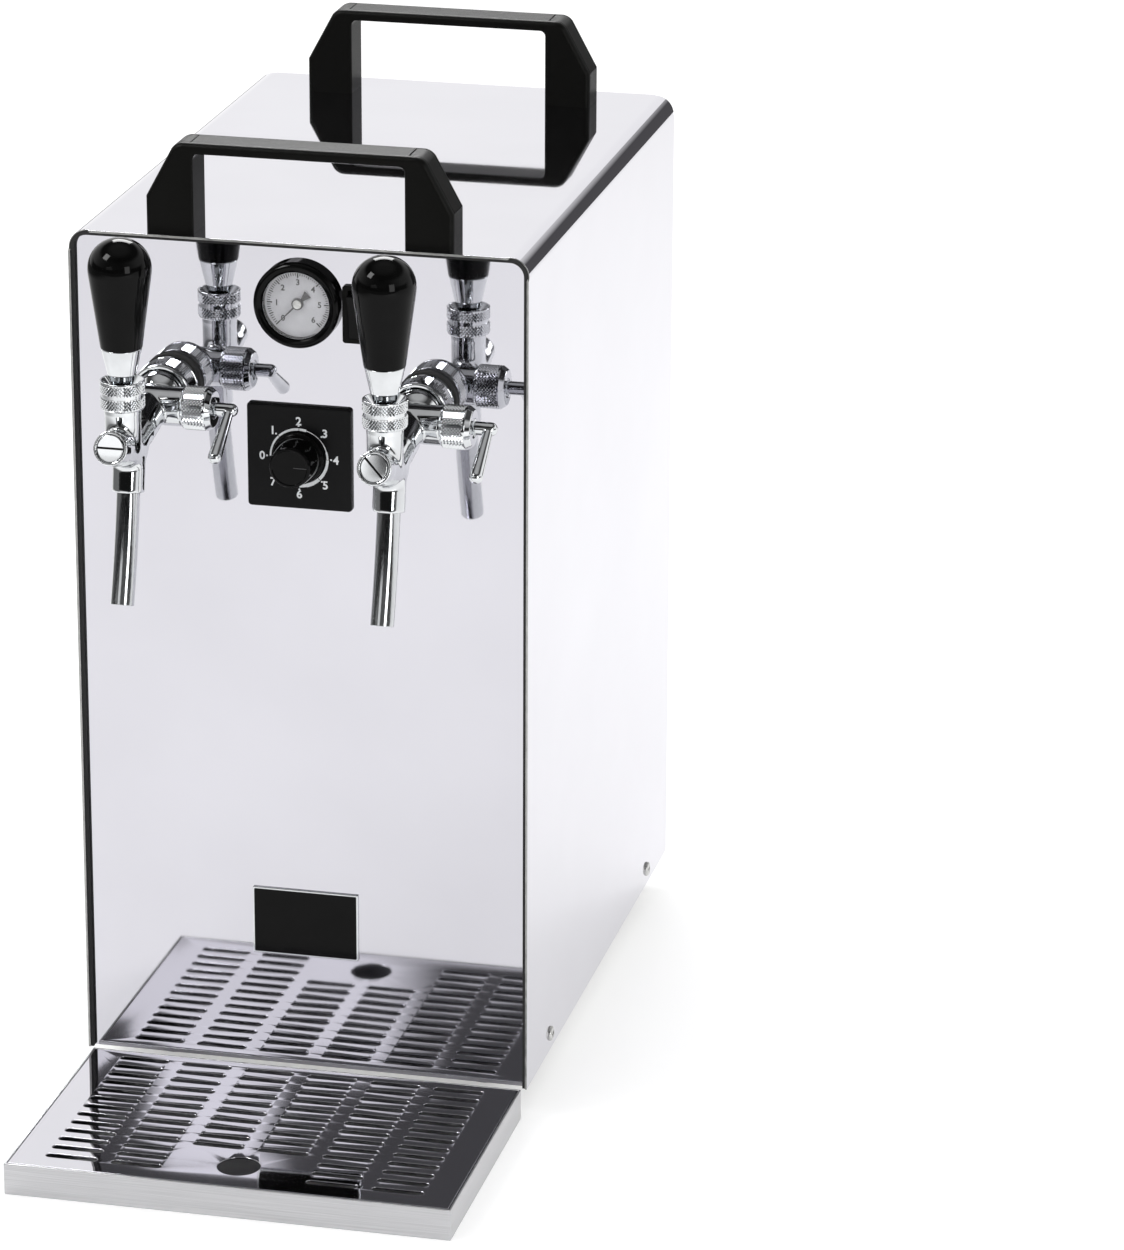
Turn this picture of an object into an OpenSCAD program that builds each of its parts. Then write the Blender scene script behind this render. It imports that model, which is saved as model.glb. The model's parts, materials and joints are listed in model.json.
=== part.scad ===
// Table-top draft beer dispenser with two compensator taps and a drip tray.
// Origin: centre of the whole footprint, on the surface it stands on.
// X runs across the front, Y runs from front to back, Z is up. Millimetres.

/* [Casing] */
// Width of the casing
case_w = 240; // [226:1:300]
// Depth of the casing from its front rim to its rear edge
case_d = 350; // [340:1:420]
// Height of the casing above its feet
case_h = 450; // [440:1:520]
// Thickness of the steel sheets
sheet_t = 1.2; // [0.8:0.1:1.8]
// Outside radius of the two bends along the top
bend_r = 10; // [6:0.5:14]
// Width of the folded rim round the front and rear openings
rim_w = 2.6; // [2.4:0.1:4]
// Depth of the front and rear panels behind the rim
rim_d = 4; // [3:0.5:8]
// Height of the upturned side flanges of the base pan
flange_h = 20; // [16:1:30]
// Height of the side screws above the casing's lower edge
side_screw_z = 9.3; // [8:0.1:12]
// Distance of the side screws from the front and rear edges
side_screw_in = 54; // [40:1:70]

/* [Feet] */
// Height of the rubber feet, which the drip tray shares
foot_h = 17; // [13:0.5:24]
// Diameter of the rubber feet
foot_d = 28; // [20:1:36]
// Distance of the foot centres from the casing's sides
foot_in = 34; // [26:1:44]
// Distance of the foot centres from the casing's front and rear
foot_end_in = 54; // [40:1:62]

/* [Carrying handles] */
// Length of a handle across the casing
handle_len = 160; // [140:1:190]
// Height of a handle above the casing
handle_h = 47; // [43:1:64]
// Depth of a handle from front to back
handle_d = 22; // [20:1:30]
// Width of a handle's leg
handle_leg = 25; // [22:1:30]
// Thickness of the grip bar
handle_bar = 5.5; // [5:0.5:8]
// Height of the upright part of a leg
handle_shoulder = 18.5; // [16:0.5:24]
// Length of the flat top of a handle
handle_flat = 129; // [122:1:134]
// Radius of the two upper corners of a handle
handle_corner = 7; // [4:0.5:9]
// Thickness of the snap-in end caps
cap_t = 4; // [3:0.5:5]
// Length of an end cap along the flat top
cap_top = 8; // [6:0.5:9]
// Rim of the handle in front of and behind an end cap
cap_rim = 3.5; // [2.5:0.5:4]
// Distance of the front handle from the front rim
handle_front_in = 5; // [4:0.5:20]
// Distance of the rear handle from the rear edge
handle_rear_in = 17; // [4:0.5:30]

/* [Pressure gauge] */
// Outside diameter of the gauge's bezel
gauge_d = 45; // [42:0.5:50]
// Diameter of the dial seen inside the bezel
gauge_dial_d = 35; // [30:0.5:36]
// Height of the bezel in front of the panel
gauge_out = 7; // [6:0.5:9]
// Drop of the gauge's centre below the casing's top
gauge_drop = 31.7; // [30:0.1:36]
// Length of the gauge's cup behind the panel
gauge_cup = 24; // [18:1:30]

/* [Thermostat] */
// Side of the square thermostat plate
thermo_side = 55; // [46:1:60]
// Thickness of the thermostat plate
thermo_plate_t = 3; // [2:0.5:5]
// Drop of the thermostat's centre below the casing's top
thermo_drop = 112.5; // [108:0.5:125]
// Diameter of the knob's skirt
knob_skirt_d = 27; // [22:0.5:32]
// Diameter of the knob's face
knob_face_d = 21; // [16:0.5:22]
// Height of the knob
knob_h = 18; // [14:0.5:24]
// Diameter of the thermostat's shaft
thermo_shaft_d = 6; // [4:0.5:8]

/* [Switch] */
// Width of the switch bezel
switch_w = 22; // [18:0.5:26]
// Height of the switch bezel
switch_h = 30; // [26:0.5:36]
// Distance of the switch from the gauge's bezel
switch_gap = 0.7; // [0.5:0.1:4]
// Drop of the switch's centre below the casing's top
switch_drop = 35.5; // [32:0.5:42]
// Angle that the rocker stands off level
rocker_tilt = 10; // [6:0.5:12]

/* [Badge plate] */
// Width of the bare badge plate
badge_w = 57; // [40:1:70]
// Height of the bare badge plate
badge_h = 37; // [25:1:45]
// Thickness of the badge plate
badge_t = 1.6; // [1:0.1:3]
// Height of the plate's centre above the casing's lower edge
badge_z = 81; // [50:1:120]
// Radius of the badge plate's corners
badge_corner = 0.6; // [0.4:0.1:3]

/* [Tap bodies] */
// Distance between the two taps
tap_gap = 134; // [126:1:140]
// Drop of the tap shanks below the casing's top
tap_drop = 78; // [74:0.5:82]
// Outside diameter of the knurled coupling nut
coupling_d = 31.2; // [30.6:0.2:36]
// Distance of the coupling nut's front rim from the panel
coupling_out = 22.7; // [21:0.1:26]
// Distance of the compensator's axis from the panel
comp_out = 35.6; // [35:0.1:38]
// Distance of the handle's axis from the panel
neck_out = 84.5; // [82:0.5:88]
// Distance of the front plug's face from the panel
plug_out = 106.6; // [104:0.2:110]
// Height of the front plug's face above the shank axis
plug_rise = -3; // [-5:0.5:-1]
// Upward tilt of the front chamber
chamber_tilt = 18; // [14:1:20]
// Outside diameter of the front chamber
chamber_d = 17.6; // [17.2:0.2:20]
// Bore of the front chamber
chamber_bore = 13; // [12:0.2:13.4]
// Outside diameter of the neck that carries the handle
neck_d = 18.4; // [18:0.2:20]

/* [Tap levers] */
// Outside diameter of the knurled collar under the handle
collar_d = 22.7; // [22.5:0.1:26]
// Height of the collar's top above the shank axis
collar_top = 26; // [25:0.5:28]
// Height of the collar
collar_h = 14.6; // [13.5:0.1:16]
// Distance of the handle's pivot below the collar's top
pivot_drop = 8; // [7.8:0.1:8.6]
// Diameter of the lever's ball
ball_d = 12; // [11:0.2:12.4]
// Diameter of the chrome ferrule where it leaves the collar
ferrule_d = 13; // [12:0.2:13.4]
// Largest diameter of the ferrule, under the grip
ferrule_top_d = 20.4; // [18:0.2:22]
// Height of the black grip's lower end above the shank axis
grip_z = 42.5; // [38:0.5:48]
// Largest diameter of the black grip
grip_d = 31.8; // [28:0.2:36]
// Length of the black grip
grip_len = 55.5; // [46:0.5:64]
// Farthest turn of the handle towards the user
lever_open = 15; // [10:1:15]
// Farthest turn of the handle towards the panel
lever_foam = 5; // [2:1:5]

/* [Compensators and spouts] */
// Diameter of the compensator's knurled nut
comp_nut_d = 22.7; // [21:0.1:26]
// Distance of the nut's inner face from the tap's middle
comp_nut_in = 17.4; // [17:0.2:19]
// Width of the compensator's nut
comp_nut_w = 15.4; // [12:0.2:17]
// Diameter of the compensator's axle
comp_axle_d = 7; // [6:0.2:8]
// Length of the compensator's lever arm
comp_arm = 35; // [26:0.5:36]
// Forward lean of the lever arm from straight down, at rest
comp_lean = 58; // [45:1:65]
// Throw of the eccentric pin that shifts the flow cone
comp_throw = 2; // [1.6:0.1:2.2]
// Outside diameter of the spout tube
spout_d = 11.8; // [10:0.2:12.4]
// Wall of the spout tube
spout_wall = 1; // [0.8:0.1:1.6]
// Length of the spout tube below its socket
spout_len = 57; // [40:0.5:70]
// Forward lean of the spout where it leaves its socket
spout_lean = 10; // [6:1:12]
// Further bend of the spout along its length
spout_bend = 9; // [4:1:14]
// Outside diameter of the spout socket
socket_d = 16.4; // [15.6:0.2:18]

/* [Drip tray] */
// Width of the drip tray
tray_w = 234; // [222:1:280]
// Depth of the drip tray from front to back
tray_d = 151; // [150:1:190]
// Gap between the tray and the casing, and round the grille
tray_gap = 0.4; // [0.3:0.1:1]
// Columns of slots in the grille
slot_cols = 6; // [4:2:6]
// Rows of slots in the grille
slot_rows = 13; // [8:1:13]
// Rows of slots behind the finger hole
short_rows = 10; // [5:1:10]
// Length of a slot
slot_len = 27; // [20:0.5:30]
// Width of a slot
slot_w = 4.5; // [3.5:0.1:5.5]
// Distance between columns of slots
slot_dx = 34.3; // [32:0.1:36]
// Distance between rows of slots
slot_dy = 10.5; // [8:0.1:10.8]
// Distance of the first row from the tray's rear edge
slot_back = 9.5; // [8:0.5:11]
// Diameter of the finger hole
finger_d = 22; // [18:0.5:24]
// Distance of the finger hole from the tray's front edge
finger_in = 25; // [22:0.5:28]

/* [Machinery] */
// Height of the shelf above the casing's lower edge
shelf_z = 215; // [205:1:222]
// Width of the cooling block
block_w = 184; // [176:1:200]
// Depth of the cooling block
block_d = 130; // [110:1:140]
// Height of the cooling block
block_h = 184; // [178:1:192]
// Distance of the cooling block behind the front panel
block_in = 70; // [64:1:76]
// Diameter of the refrigeration compressor
pot_d = 124; // [100:1:140]
// Height of the refrigeration compressor
pot_h = 138; // [110:1:150]
// Width of the condenser
cond_w = 196; // [160:1:206]
// Height of the condenser
cond_h = 176; // [150:1:184]
// Depth of the condenser
cond_d = 32; // [24:1:40]
// Side of the square fan frame
fan_side = 120; // [100:1:140]
// Depth of the fan frame
fan_t = 26; // [22:1:32]
// Count of fan blades
fan_blades_n = 7; // [5:1:9]

/* [Rear connections] */
// Distance that the rear fittings stand out behind the casing
rear_out = 18; // [14:0.5:26]
// Bore of the fittings for the drink and air hoses
hose_bore = 8.2; // [6.2:0.1:10.2]
// Depth of the fittings' bores
hose_depth = 16; // [10:0.5:18]
// Distance between the two drink inlets
inlet_gap = 150; // [130:1:160]
// Height of the drink inlets above the casing's lower edge
inlet_z = 330; // [310:1:380]
// Bore of the cable gland
gland_bore = 7.2; // [5:0.1:9]

/* [Hidden] */
$fn = 64;

// Overlap that lets a cut pass cleanly through a face
cut = 0.5;
// Gap between pieces that stand still beside each other
fit = 0.2;
// Radial gap of a shaft that turns in a bore
running = 0.05;
// Gap between pieces that move past each other
free = 0.3;

// Planes of the casing
front_y = -(case_d + rear_out - tray_gap - tray_d) / 2;
rear_y = front_y + case_d;
panel_y = front_y + rim_d;
panel_back = panel_y + sheet_t;
rear_panel_y = rear_y - rim_d - sheet_t;
floor_z = foot_h + sheet_t;
top_z = foot_h + case_h;
inner_half = case_w / 2 - sheet_t;

// Screws
m4_r = 2;
m4_head_r = 4;
m4_head_h = 1.5;
m6_r = 3;
m6_head_r = 5;
m6_head_h = 5;
m4_cross = 1;
m6_key_r = 2.5;
m6_key_h = 3;
m6_nut_r = 5.8;
m6_nut_h = 5;
screw_end = 2;
screw_len = 8;
handle_seat = 8;
slope_lap = 0.03;
foot_taper = 4;

// Vents of the rear panel
vent_w = 4;
vent_pitch = 3 * vent_w;
vent_margin = 20;
vent_rib = 16;

// Gauge
gauge_z = top_z - gauge_drop;
gauge_cup_r = gauge_dial_d / 2 + 2.3;
gauge_lens_in = 1.2;
gauge_lens_t = 1.2;
gauge_dial_in = gauge_out - 1;
gauge_dial_t = 0.8;
gauge_wall = 1.8;
gauge_axle_r = 0.8;
gauge_rest = 225;
gauge_chamfer = 1.6;
gauge_stem = 12;
gauge_stem_r = 5;
gauge_stem_bore = 1.5;
gauge_movement_r = 6;
gauge_nut_t = 4;
pointer_t = 0.6;
pointer_w = 1.8;
pointer_tip_w = 0.4;
pointer_tail_w = 4.4;
pointer_boss_r = 2;

// Thermostat
thermo_z = top_z - thermo_drop;
thermo_bush_r = thermo_shaft_d / 2 + 2;
thermo_body_t = 28;
thermo_body_w = 46;
thermo_body_h = 34;
thermo_corner = 2;
knob_front = panel_y - thermo_plate_t - free - knob_h;
knob_bore_end = 4;
knob_skirt_t = 3;
knob_draft = 1.2;
knob_mark_w = 0.8;
knob_mark_t = 0.6;

// Switch
switch_x = gauge_d / 2 + switch_gap + switch_w / 2;
switch_z = top_z - switch_drop;
switch_out = 2;
switch_rim = 1.6;
switch_hole_in = switch_rim - fit;
switch_back = 24;
switch_corner = 1.5;
switch_floor = 2;
rocker_pivot = 1.6;
rocker_pin_r = 1.4;
rocker_crown = 4;
rocker_edge = 1;
rocker_boss = 3;
rocker_half = switch_h / 2 - switch_rim - 1.9;
rocker_x = switch_w - 4 * switch_rim;

// Tap, measured from the panel face on the shank axis; forward is negative Y
tap_z = top_z - tap_drop;
shank_r = 11;
shank_tail = 44;
shank_thread = 28;
shank_nut_w = 32;
shank_nut_t = 7;
shank_flange_in = 0.6;
washer_t = 3.5;
shank_flange_t = 2.5;
coupling_wall = 1.2;
coupling_lip = 2.2;
dome_r = coupling_d / 2 - 2.6;
dome_out = coupling_out - coupling_lip - fit;
seal_out = coupling_out - coupling_lip - 2.6;
cone_chamber_r = 6.2;
cone_end = 6;
knuckle_r = 10;
knuckle_in = 10.5;
comp_drop = 1.5;
limb_r = 9.4;
limb_end_r = chamber_d / 2 - 0.4;
limb_bore_r = 4;
chamber_len = 39.5;
chamber_wall = 1.5;
plug_d = chamber_d - 3.9;
plug_t = 7;
plug_slot_w = 0.9;
plug_slot_t = 1;
plug_turns = [0, 45];
neck_axial = (plug_out - neck_out) / cos(chamber_tilt);
chamber_z = plug_rise - (plug_out - neck_out) * tan(chamber_tilt);
pivot_z = collar_top - pivot_drop;
tail_len = pivot_z - chamber_z;
tail_r = 2.2;
tail_end_r = 1.5;
tip_r = 2.5;
tip_room = 0.55;
piston_r = chamber_bore / 2 - free;
piston_front = 8;
piston_rear = 6;
piston_slot_t = 3.65;
ball_room = 0.15;
neck_stem_r = 4;
collar_groove = 1.6;
collar_groove_t = 0.8;
collar_lip = 2.3;
collar_wall = 1;
socket_out = neck_out - 6;
socket_z = -34;
socket_len = 22;
socket_grip = 8;
socket_roof = 2;
spout_room = 0.15;
limb_top = [0, -comp_out, -comp_drop];
limb_reach = socket_out - 0.5;
limb_end = [0, -limb_reach, plug_rise - (plug_out - limb_reach) * tan(chamber_tilt)];

// Compensator, measured from the tap's middle plane
comp_y = -comp_out;
comp_boss_bore = 5;
comp_collar_r = comp_boss_bore - free;
comp_pin_r = 1.2;
comp_pin_room = 0.4;
comp_core_r = 2.5;
comp_phase = 22.5;
comp_flange_t = 2;
comp_shoulder = 3;
comp_shoulder_in = 2;
comp_pin_gap = 0.7;
axle_out = 12;
arm_in = 1;
arm_root_r = 2.4;
arm_end_r = 3.6;
axle_end = comp_nut_in + comp_nut_w + axle_out;
cone_neck_r = 4;
cone_r = 5;
cone_tip_r = 2.5;

// Tray and grille
tray_h = foot_h;
tray_rear = front_y - tray_gap;
tray_front = tray_rear - tray_d;
tray_wall = 1.2;
grille_t = 1.2;

// Machinery
shelf_top = foot_h + shelf_z;
shelf_in = 40;
shelf_front = panel_back + shelf_in;
shelf_rear_in = 30;
shelf_rear = rear_panel_y - shelf_rear_in;
shelf_flange = 20;
block_y = panel_back + block_in;
line_r = 6;
line_bore_r = 4;
barb_r = line_r - 1;
block_port = 30;
pump_w = 62;
pump_d = 84;
pump_h = 74;
pump_y = block_y + block_d + 12;
pump_port_z = shelf_top + pump_h - 24;
pump_motor_r = 20;
pump_motor_in = 10;
pump_box_h = pump_h - 12;
pump_port_out = 6;
grommet_h = 12;
grommet_r = 9;
pot_in = 40;
pot_y = panel_back + pot_in + pot_d / 2;
pot_plate_t = 3;
pot_plate_x = 12;
pot_plate_y = 6;
pot_crown = 24;
cond_y = rear_panel_y - fit - cond_d;
fin_pitch = 12;
fin_gap = 0.8 * fin_pitch;
fin_end = 12;
fin_side = 8;
fan_y = cond_y - fit - fan_t;
fan_z = floor_z + cond_h / 2;
fan_hub_r = 19;
fan_tip_gap = 3;
fan_ring_r = fan_side / 2 - 3;
fan_strut_w = 6;
fan_strut_t = 3;
fan_shaft_end = fan_t - 2;
blade_pitch = 32;
blade_t = 2;
blade_w = 40;
fan_shaft_r = 3;
motor_t = 12;
fit_flange_r = 11;
fit_flange_t = 4;
fit_wall = 4.2;
fit_neck_r = 6.5;
fit_tail = 14;
fit_bore_r = 2.8;
gland_in = 28;
gland_x = case_w / 2 - gland_in;
gland_z = floor_z + cond_h + 28;
gland_tail = 6;

// Flat shape with two round upper corners, standing on the X axis
module arch(w, h, r) {
    translate([-w / 2, 0]) square([w, h - r]);
    translate([r - w / 2, 0]) square([w - 2 * r, h]);
    for (side = [-1, 1]) translate([side * (w / 2 - r), h - r]) circle(r);
}

// Open arch of the casing with the given wall
module arch_wall(t) {
    difference() {
        arch(case_w, case_h, bend_r);
        translate([0, -cut]) arch(case_w - 2 * t, case_h - t + cut, bend_r - t);
    }
}

// Square with round corners, centred
module round_square(w, h, r) {
    square([w - 2 * r, h], center = true);
    square([w, h - 2 * r], center = true);
    for (x = [-1, 1], z = [-1, 1]) translate([x * (w / 2 - r), z * (h / 2 - r)]) circle(r);
}

// Slot with round ends along X, centred
module slot(length, width) {
    square([length - width, width], center = true);
    for (side = [-1, 1]) translate([side * (length - width) / 2, 0]) circle(width / 2);
}

// Upright plate of a flat shape drawn in X and Z, from y towards the rear
module upright(y, t) {
    translate([0, y + t, 0]) rotate([90, 0, 0]) linear_extrude(t) children();
}

// Round bar along Y from y0 back to y1
module bar_y(r, y0, y1) {
    translate([0, y0, 0]) rotate([-90, 0, 0]) cylinder(r = r, h = y1 - y0);
}

// Round bar along X from x0 to x1
module bar_x(r, x0, x1) {
    translate([x0, 0, 0]) rotate([0, 90, 0]) cylinder(r = r, h = x1 - x0);
}

// Cone along Y from radius r0 at y0 to radius r1 at y1
module cone_y(r0, r1, y0, y1) {
    translate([0, y0, 0]) rotate([-90, 0, 0]) cylinder(r1 = r0, r2 = r1, h = y1 - y0);
}

// Round bar in the tap's middle plane, from point p with radius r0 to point q with radius r1
module limb_bar(p, q, r0, r1) {
    translate(p) rotate([atan2(p[1] - q[1], q[2] - p[2]), 0, 0])
        cylinder(r1 = r0, r2 = r1, h = norm(q - p));
}

// Hexagonal nut along Y, from y0 back, with a round bore
module hex_nut_y(across, t, bore_r, y0) {
    translate([0, y0, 0]) rotate([-90, 0, 0]) difference() {
        cylinder(d = across / cos(30), h = t, $fn = 6);
        translate([0, 0, -cut]) cylinder(r = bore_r, h = t + 2 * cut);
    }
}

// Places for the pieces that repeat
module at_sides() {
    for (side = [-1, 1], y = [front_y + side_screw_in, rear_y - side_screw_in])
        translate([side * case_w / 2, y, foot_h + side_screw_z])
            rotate([0, side * 90, 0]) children();
}

module at_feet() {
    for (x = [foot_in - case_w / 2, case_w / 2 - foot_in], y = [front_y + foot_end_in, rear_y - foot_end_in])
        translate([x, y, 0]) children();
}

module at_handles() {
    translate([0, front_y + handle_front_in, top_z]) children();
    translate([0, rear_y - handle_rear_in - handle_d, top_z]) children();
}

module at_handle_screws() {
    for (side = [-1, 1]) translate([side * (handle_len - handle_leg) / 2, handle_d / 2, 0]) children();
}

module at_tap(side) {
    translate([side * tap_gap / 2, panel_y, tap_z]) children();
}

module at_taps() {
    for (side = [-1, 1]) at_tap(side) children();
}

// Front chamber: its axis is Y, its origin the middle of the plug's face
module at_chamber() {
    translate([0, -plug_out, plug_rise]) rotate([-chamber_tilt, 0, 0]) children();
}

// Spout socket: its axis is Z, its origin the middle of the lower end
module at_socket() {
    translate([0, -socket_out, socket_z]) rotate([-spout_lean, 0, 0]) children();
}

// Compensator: its axis is X, its origin in the tap's middle plane
module at_comp() {
    translate([0, comp_y, -comp_drop]) children();
}

// Rear fittings: places and hole sizes are shared with the rear panel
module at_inlets() {
    for (side = [-1, 1]) translate([side * inlet_gap / 2, rear_panel_y, foot_h + inlet_z]) children();
}

module at_outlet() {
    translate([0, rear_panel_y, pump_port_z]) children();
}

module at_gland() {
    translate([gland_x, rear_panel_y, gland_z]) children();
}

// Sheet-metal casing

module casing_wrap() {
    color("gainsboro") difference() {
        translate([0, 0, foot_h]) {
            upright(front_y, case_d) arch_wall(sheet_t);
            upright(front_y, rim_d) arch_wall(rim_w);
            upright(rear_y - rim_d, rim_d) arch_wall(rim_w);
        }
        at_handles() at_handle_screws()
            translate([0, 0, -sheet_t - cut]) cylinder(r = m6_r + fit, h = sheet_t + 2 * cut);
        at_sides() translate([0, 0, -sheet_t - cut]) cylinder(r = m4_r + fit, h = sheet_t + 2 * cut);
    }
}

// Outline of a panel that lies behind the folded rim
module panel_outline() {
    arch(2 * (inner_half - fit), case_h - sheet_t - fit, bend_r - sheet_t);
}

module front_panel() {
    color("ghostwhite") difference() {
        translate([0, 0, foot_h]) upright(panel_y, sheet_t) panel_outline();
        upright(panel_y - cut, sheet_t + 2 * cut) {
            for (side = [-1, 1]) translate([side * tap_gap / 2, tap_z]) circle(shank_r + fit);
            translate([0, gauge_z]) circle(gauge_cup_r + fit);
            translate([0, thermo_z]) circle(thermo_bush_r + fit);
            translate([switch_x, switch_z])
                square([switch_w - 2 * switch_hole_in, switch_h - 2 * switch_hole_in], center = true);
        }
    }
}

module rear_panel() {
    vent_rows = floor((cond_h - 2 * vent_margin) / vent_pitch);
    vent_len = cond_w / 2 - vent_rib;
    color("gainsboro") difference() {
        translate([0, 0, foot_h]) upright(rear_panel_y, sheet_t) panel_outline();
        upright(rear_panel_y - cut, sheet_t + 2 * cut)
            for (row = [0 : vent_rows - 1], side = [-1, 1])
                translate([side * cond_w / 4, floor_z + vent_margin + row * vent_pitch])
                    slot(vent_len, vent_w);
        at_inlets() bar_y(fit_neck_r + fit, -cut, sheet_t + cut);
        at_outlet() bar_y(fit_neck_r + fit, -cut, sheet_t + cut);
        at_gland() bar_y(fit_neck_r + fit, -cut, sheet_t + cut);
    }
}

module base_pan() {
    depth = rear_panel_y - panel_back - 2 * fit;
    half = inner_half - fit;
    color("silver") difference() {
        translate([0, panel_back + fit, foot_h]) {
            translate([-half, 0, 0]) cube([2 * half, depth, sheet_t]);
            for (x = [-half, half - sheet_t]) translate([x, 0, 0]) cube([sheet_t, depth, flange_h]);
        }
        at_sides() translate([0, 0, -screw_len]) cylinder(r = m4_r + fit, h = screw_len);
        at_feet() cylinder(r = m4_r + fit, h = floor_z + cut);
    }
}

module side_screws() {
    color("whitesmoke") at_sides() difference() {
        union() {
            cylinder(r = m4_head_r, h = m4_head_h);
            translate([0, 0, -screw_len]) cylinder(r = m4_r, h = screw_len);
        }
        for (turn = [0, 90]) rotate(turn)
            translate([-m4_r, -m4_cross / 2, m4_head_h / 2]) cube([2 * m4_r, m4_cross, m4_head_h]);
    }
}

module feet() {
    color("black") at_feet() {
        cylinder(d1 = foot_d, d2 = foot_d - foot_taper, h = foot_h);
        cylinder(r = m4_r, h = floor_z);
    }
}

// Carrying handles

// Outline from the front; the two upper corners are discs, and the slopes run a little into them
module handle_outline() {
    half = handle_len / 2;
    slope = atan2(handle_h - handle_shoulder, half - handle_flat / 2);
    mid = handle_flat / 2 - handle_corner * tan(slope / 2);
    low = handle_h - handle_corner;
    reach = handle_corner - slope_lap;
    end = [mid + reach * sin(slope), low + reach * cos(slope)];
    polygon([[-half, 0], [half, 0], [half, handle_shoulder], end, [mid, low], [mid, handle_h],
        [-mid, handle_h], [-mid, low], [-end[0], end[1]], [-half, handle_shoulder]]);
    for (side = [-1, 1]) translate([side * mid, low]) circle(handle_corner);
}

// Strip along the sloped shoulder, grown by a gap and left open outwards for its pocket
module cap_outline(gap, open) {
    half = handle_len / 2;
    flat = handle_flat / 2;
    inner = flat - cap_top - gap;
    low = handle_shoulder - gap;
    high = handle_h - cap_t - gap;
    polygon([[half + open, low], [half + open, handle_h + open], [inner, handle_h + open],
        [inner, high], [flat - cap_t / 2 - gap, high], [half - cap_t - gap, low]]);
}

module handle_frame() {
    window = handle_len - 2 * handle_leg;
    difference() {
        handle_outline();
        translate([-window / 2, -cut]) square([window, handle_h - handle_bar + cut]);
    }
}

module bridge_handle() {
    rim = cap_rim - fit;
    difference() {
        union() {
            for (y = [0, handle_d - rim]) upright(y, rim) handle_frame();
            upright(rim, handle_d - 2 * rim) difference() {
                handle_frame();
                for (side = [0, 1]) mirror([side, 0]) cap_outline(fit, cut);
            }
        }
        at_handle_screws() {
            translate([0, 0, handle_seat]) cylinder(r = m6_head_r + free, h = handle_h);
            translate([0, 0, -cut]) cylinder(r = m6_r + fit, h = handle_h);
        }
    }
}

module front_handle() {
    color("#1a1a1c") translate([0, front_y + handle_front_in, top_z]) bridge_handle();
}

module rear_handle() {
    color("#1a1a1c") translate([0, rear_y - handle_rear_in - handle_d, top_z]) bridge_handle();
}

module handle_caps() {
    color("#161618") at_handles() upright(cap_rim, handle_d - 2 * cap_rim) intersection() {
        handle_outline();
        for (side = [0, 1]) mirror([side, 0]) cap_outline(0, 0);
    }
}

module handle_screws() {
    nut_z = -sheet_t - m6_nut_h;
    color("silver") at_handles() at_handle_screws() {
        difference() {
            union() {
                translate([0, 0, handle_seat]) cylinder(r = m6_head_r, h = m6_head_h);
                translate([0, 0, nut_z - screw_end])
                    cylinder(r = m6_r, h = handle_seat + screw_end - nut_z);
            }
            translate([0, 0, handle_seat + m6_head_h - m6_key_h])
                cylinder(r = m6_key_r, h = m6_key_h + cut, $fn = 6);
        }
        translate([0, 0, nut_z]) difference() {
            cylinder(r = m6_nut_r, h = m6_nut_h, $fn = 6);
            translate([0, 0, -cut]) cylinder(r = m6_r + running, h = m6_nut_h + 2 * cut);
        }
    }
}

// Pressure gauge

module at_gauge() {
    translate([0, panel_y, gauge_z]) children();
}

module gauge_case() {
    bezel_r = gauge_d / 2;
    color("black") at_gauge() difference() {
        union() {
            cone_y(bezel_r - gauge_chamfer, bezel_r, -gauge_out, gauge_chamfer - gauge_out);
            bar_y(bezel_r, gauge_chamfer - gauge_out, 0);
            bar_y(gauge_cup_r, 0, gauge_cup);
            bar_y(gauge_stem_r, gauge_cup, gauge_cup + gauge_stem);
        }
        bar_y(gauge_dial_d / 2, -gauge_out - cut, gauge_cup - gauge_wall);
        bar_y(gauge_stem_bore, gauge_cup, gauge_cup + gauge_stem + cut);
    }
}

module gauge_dial() {
    y0 = gauge_dial_in - gauge_out;
    color("white") at_gauge() difference() {
        union() {
            bar_y(gauge_dial_d / 2 - running, y0, y0 + gauge_dial_t);
            bar_y(gauge_movement_r, y0 + gauge_dial_t, gauge_cup - gauge_wall);
        }
        bar_y(gauge_axle_r + running, -gauge_out, gauge_cup / 2 + fit);
    }
}

module gauge_lens() {
    y0 = gauge_lens_in - gauge_out;
    color("white", 0.25) at_gauge() bar_y(gauge_dial_d / 2 - running, y0, y0 + gauge_lens_t);
}

// Pointer at zero, which stands at the lower left
module gauge_pointer() {
    y0 = gauge_lens_in + gauge_lens_t + free - gauge_out;
    y1 = gauge_dial_in - free - gauge_out;
    reach = gauge_dial_d / 2 - 2;
    tail = reach / 2;
    root = pointer_w / 2;
    tip = pointer_tip_w / 2;
    fan = pointer_tail_w / 2;
    color("dimgray") at_gauge() {
        bar_y(gauge_axle_r, y0, gauge_cup / 2);
        bar_y(pointer_boss_r, y0, y1);
        rotate([0, gauge_rest, 0]) upright(y1 - pointer_t, pointer_t)
            polygon([[-root, 0], [-tip, reach], [tip, reach], [root, 0], [fan, -tail], [-fan, -tail]]);
    }
}

module gauge_ring_nut() {
    color("silver") at_gauge() difference() {
        bar_y(gauge_d / 2, sheet_t, sheet_t + gauge_nut_t);
        bar_y(gauge_cup_r + running, sheet_t - cut, sheet_t + gauge_nut_t + cut);
    }
}

// Thermostat

module at_thermo() {
    translate([0, panel_y, thermo_z]) children();
}

module thermostat_plate() {
    color("#151515") at_thermo() difference() {
        upright(-thermo_plate_t, thermo_plate_t) round_square(thermo_side, thermo_side, thermo_corner);
        bar_y(thermo_bush_r + fit, -thermo_plate_t - cut, cut);
    }
}

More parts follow.
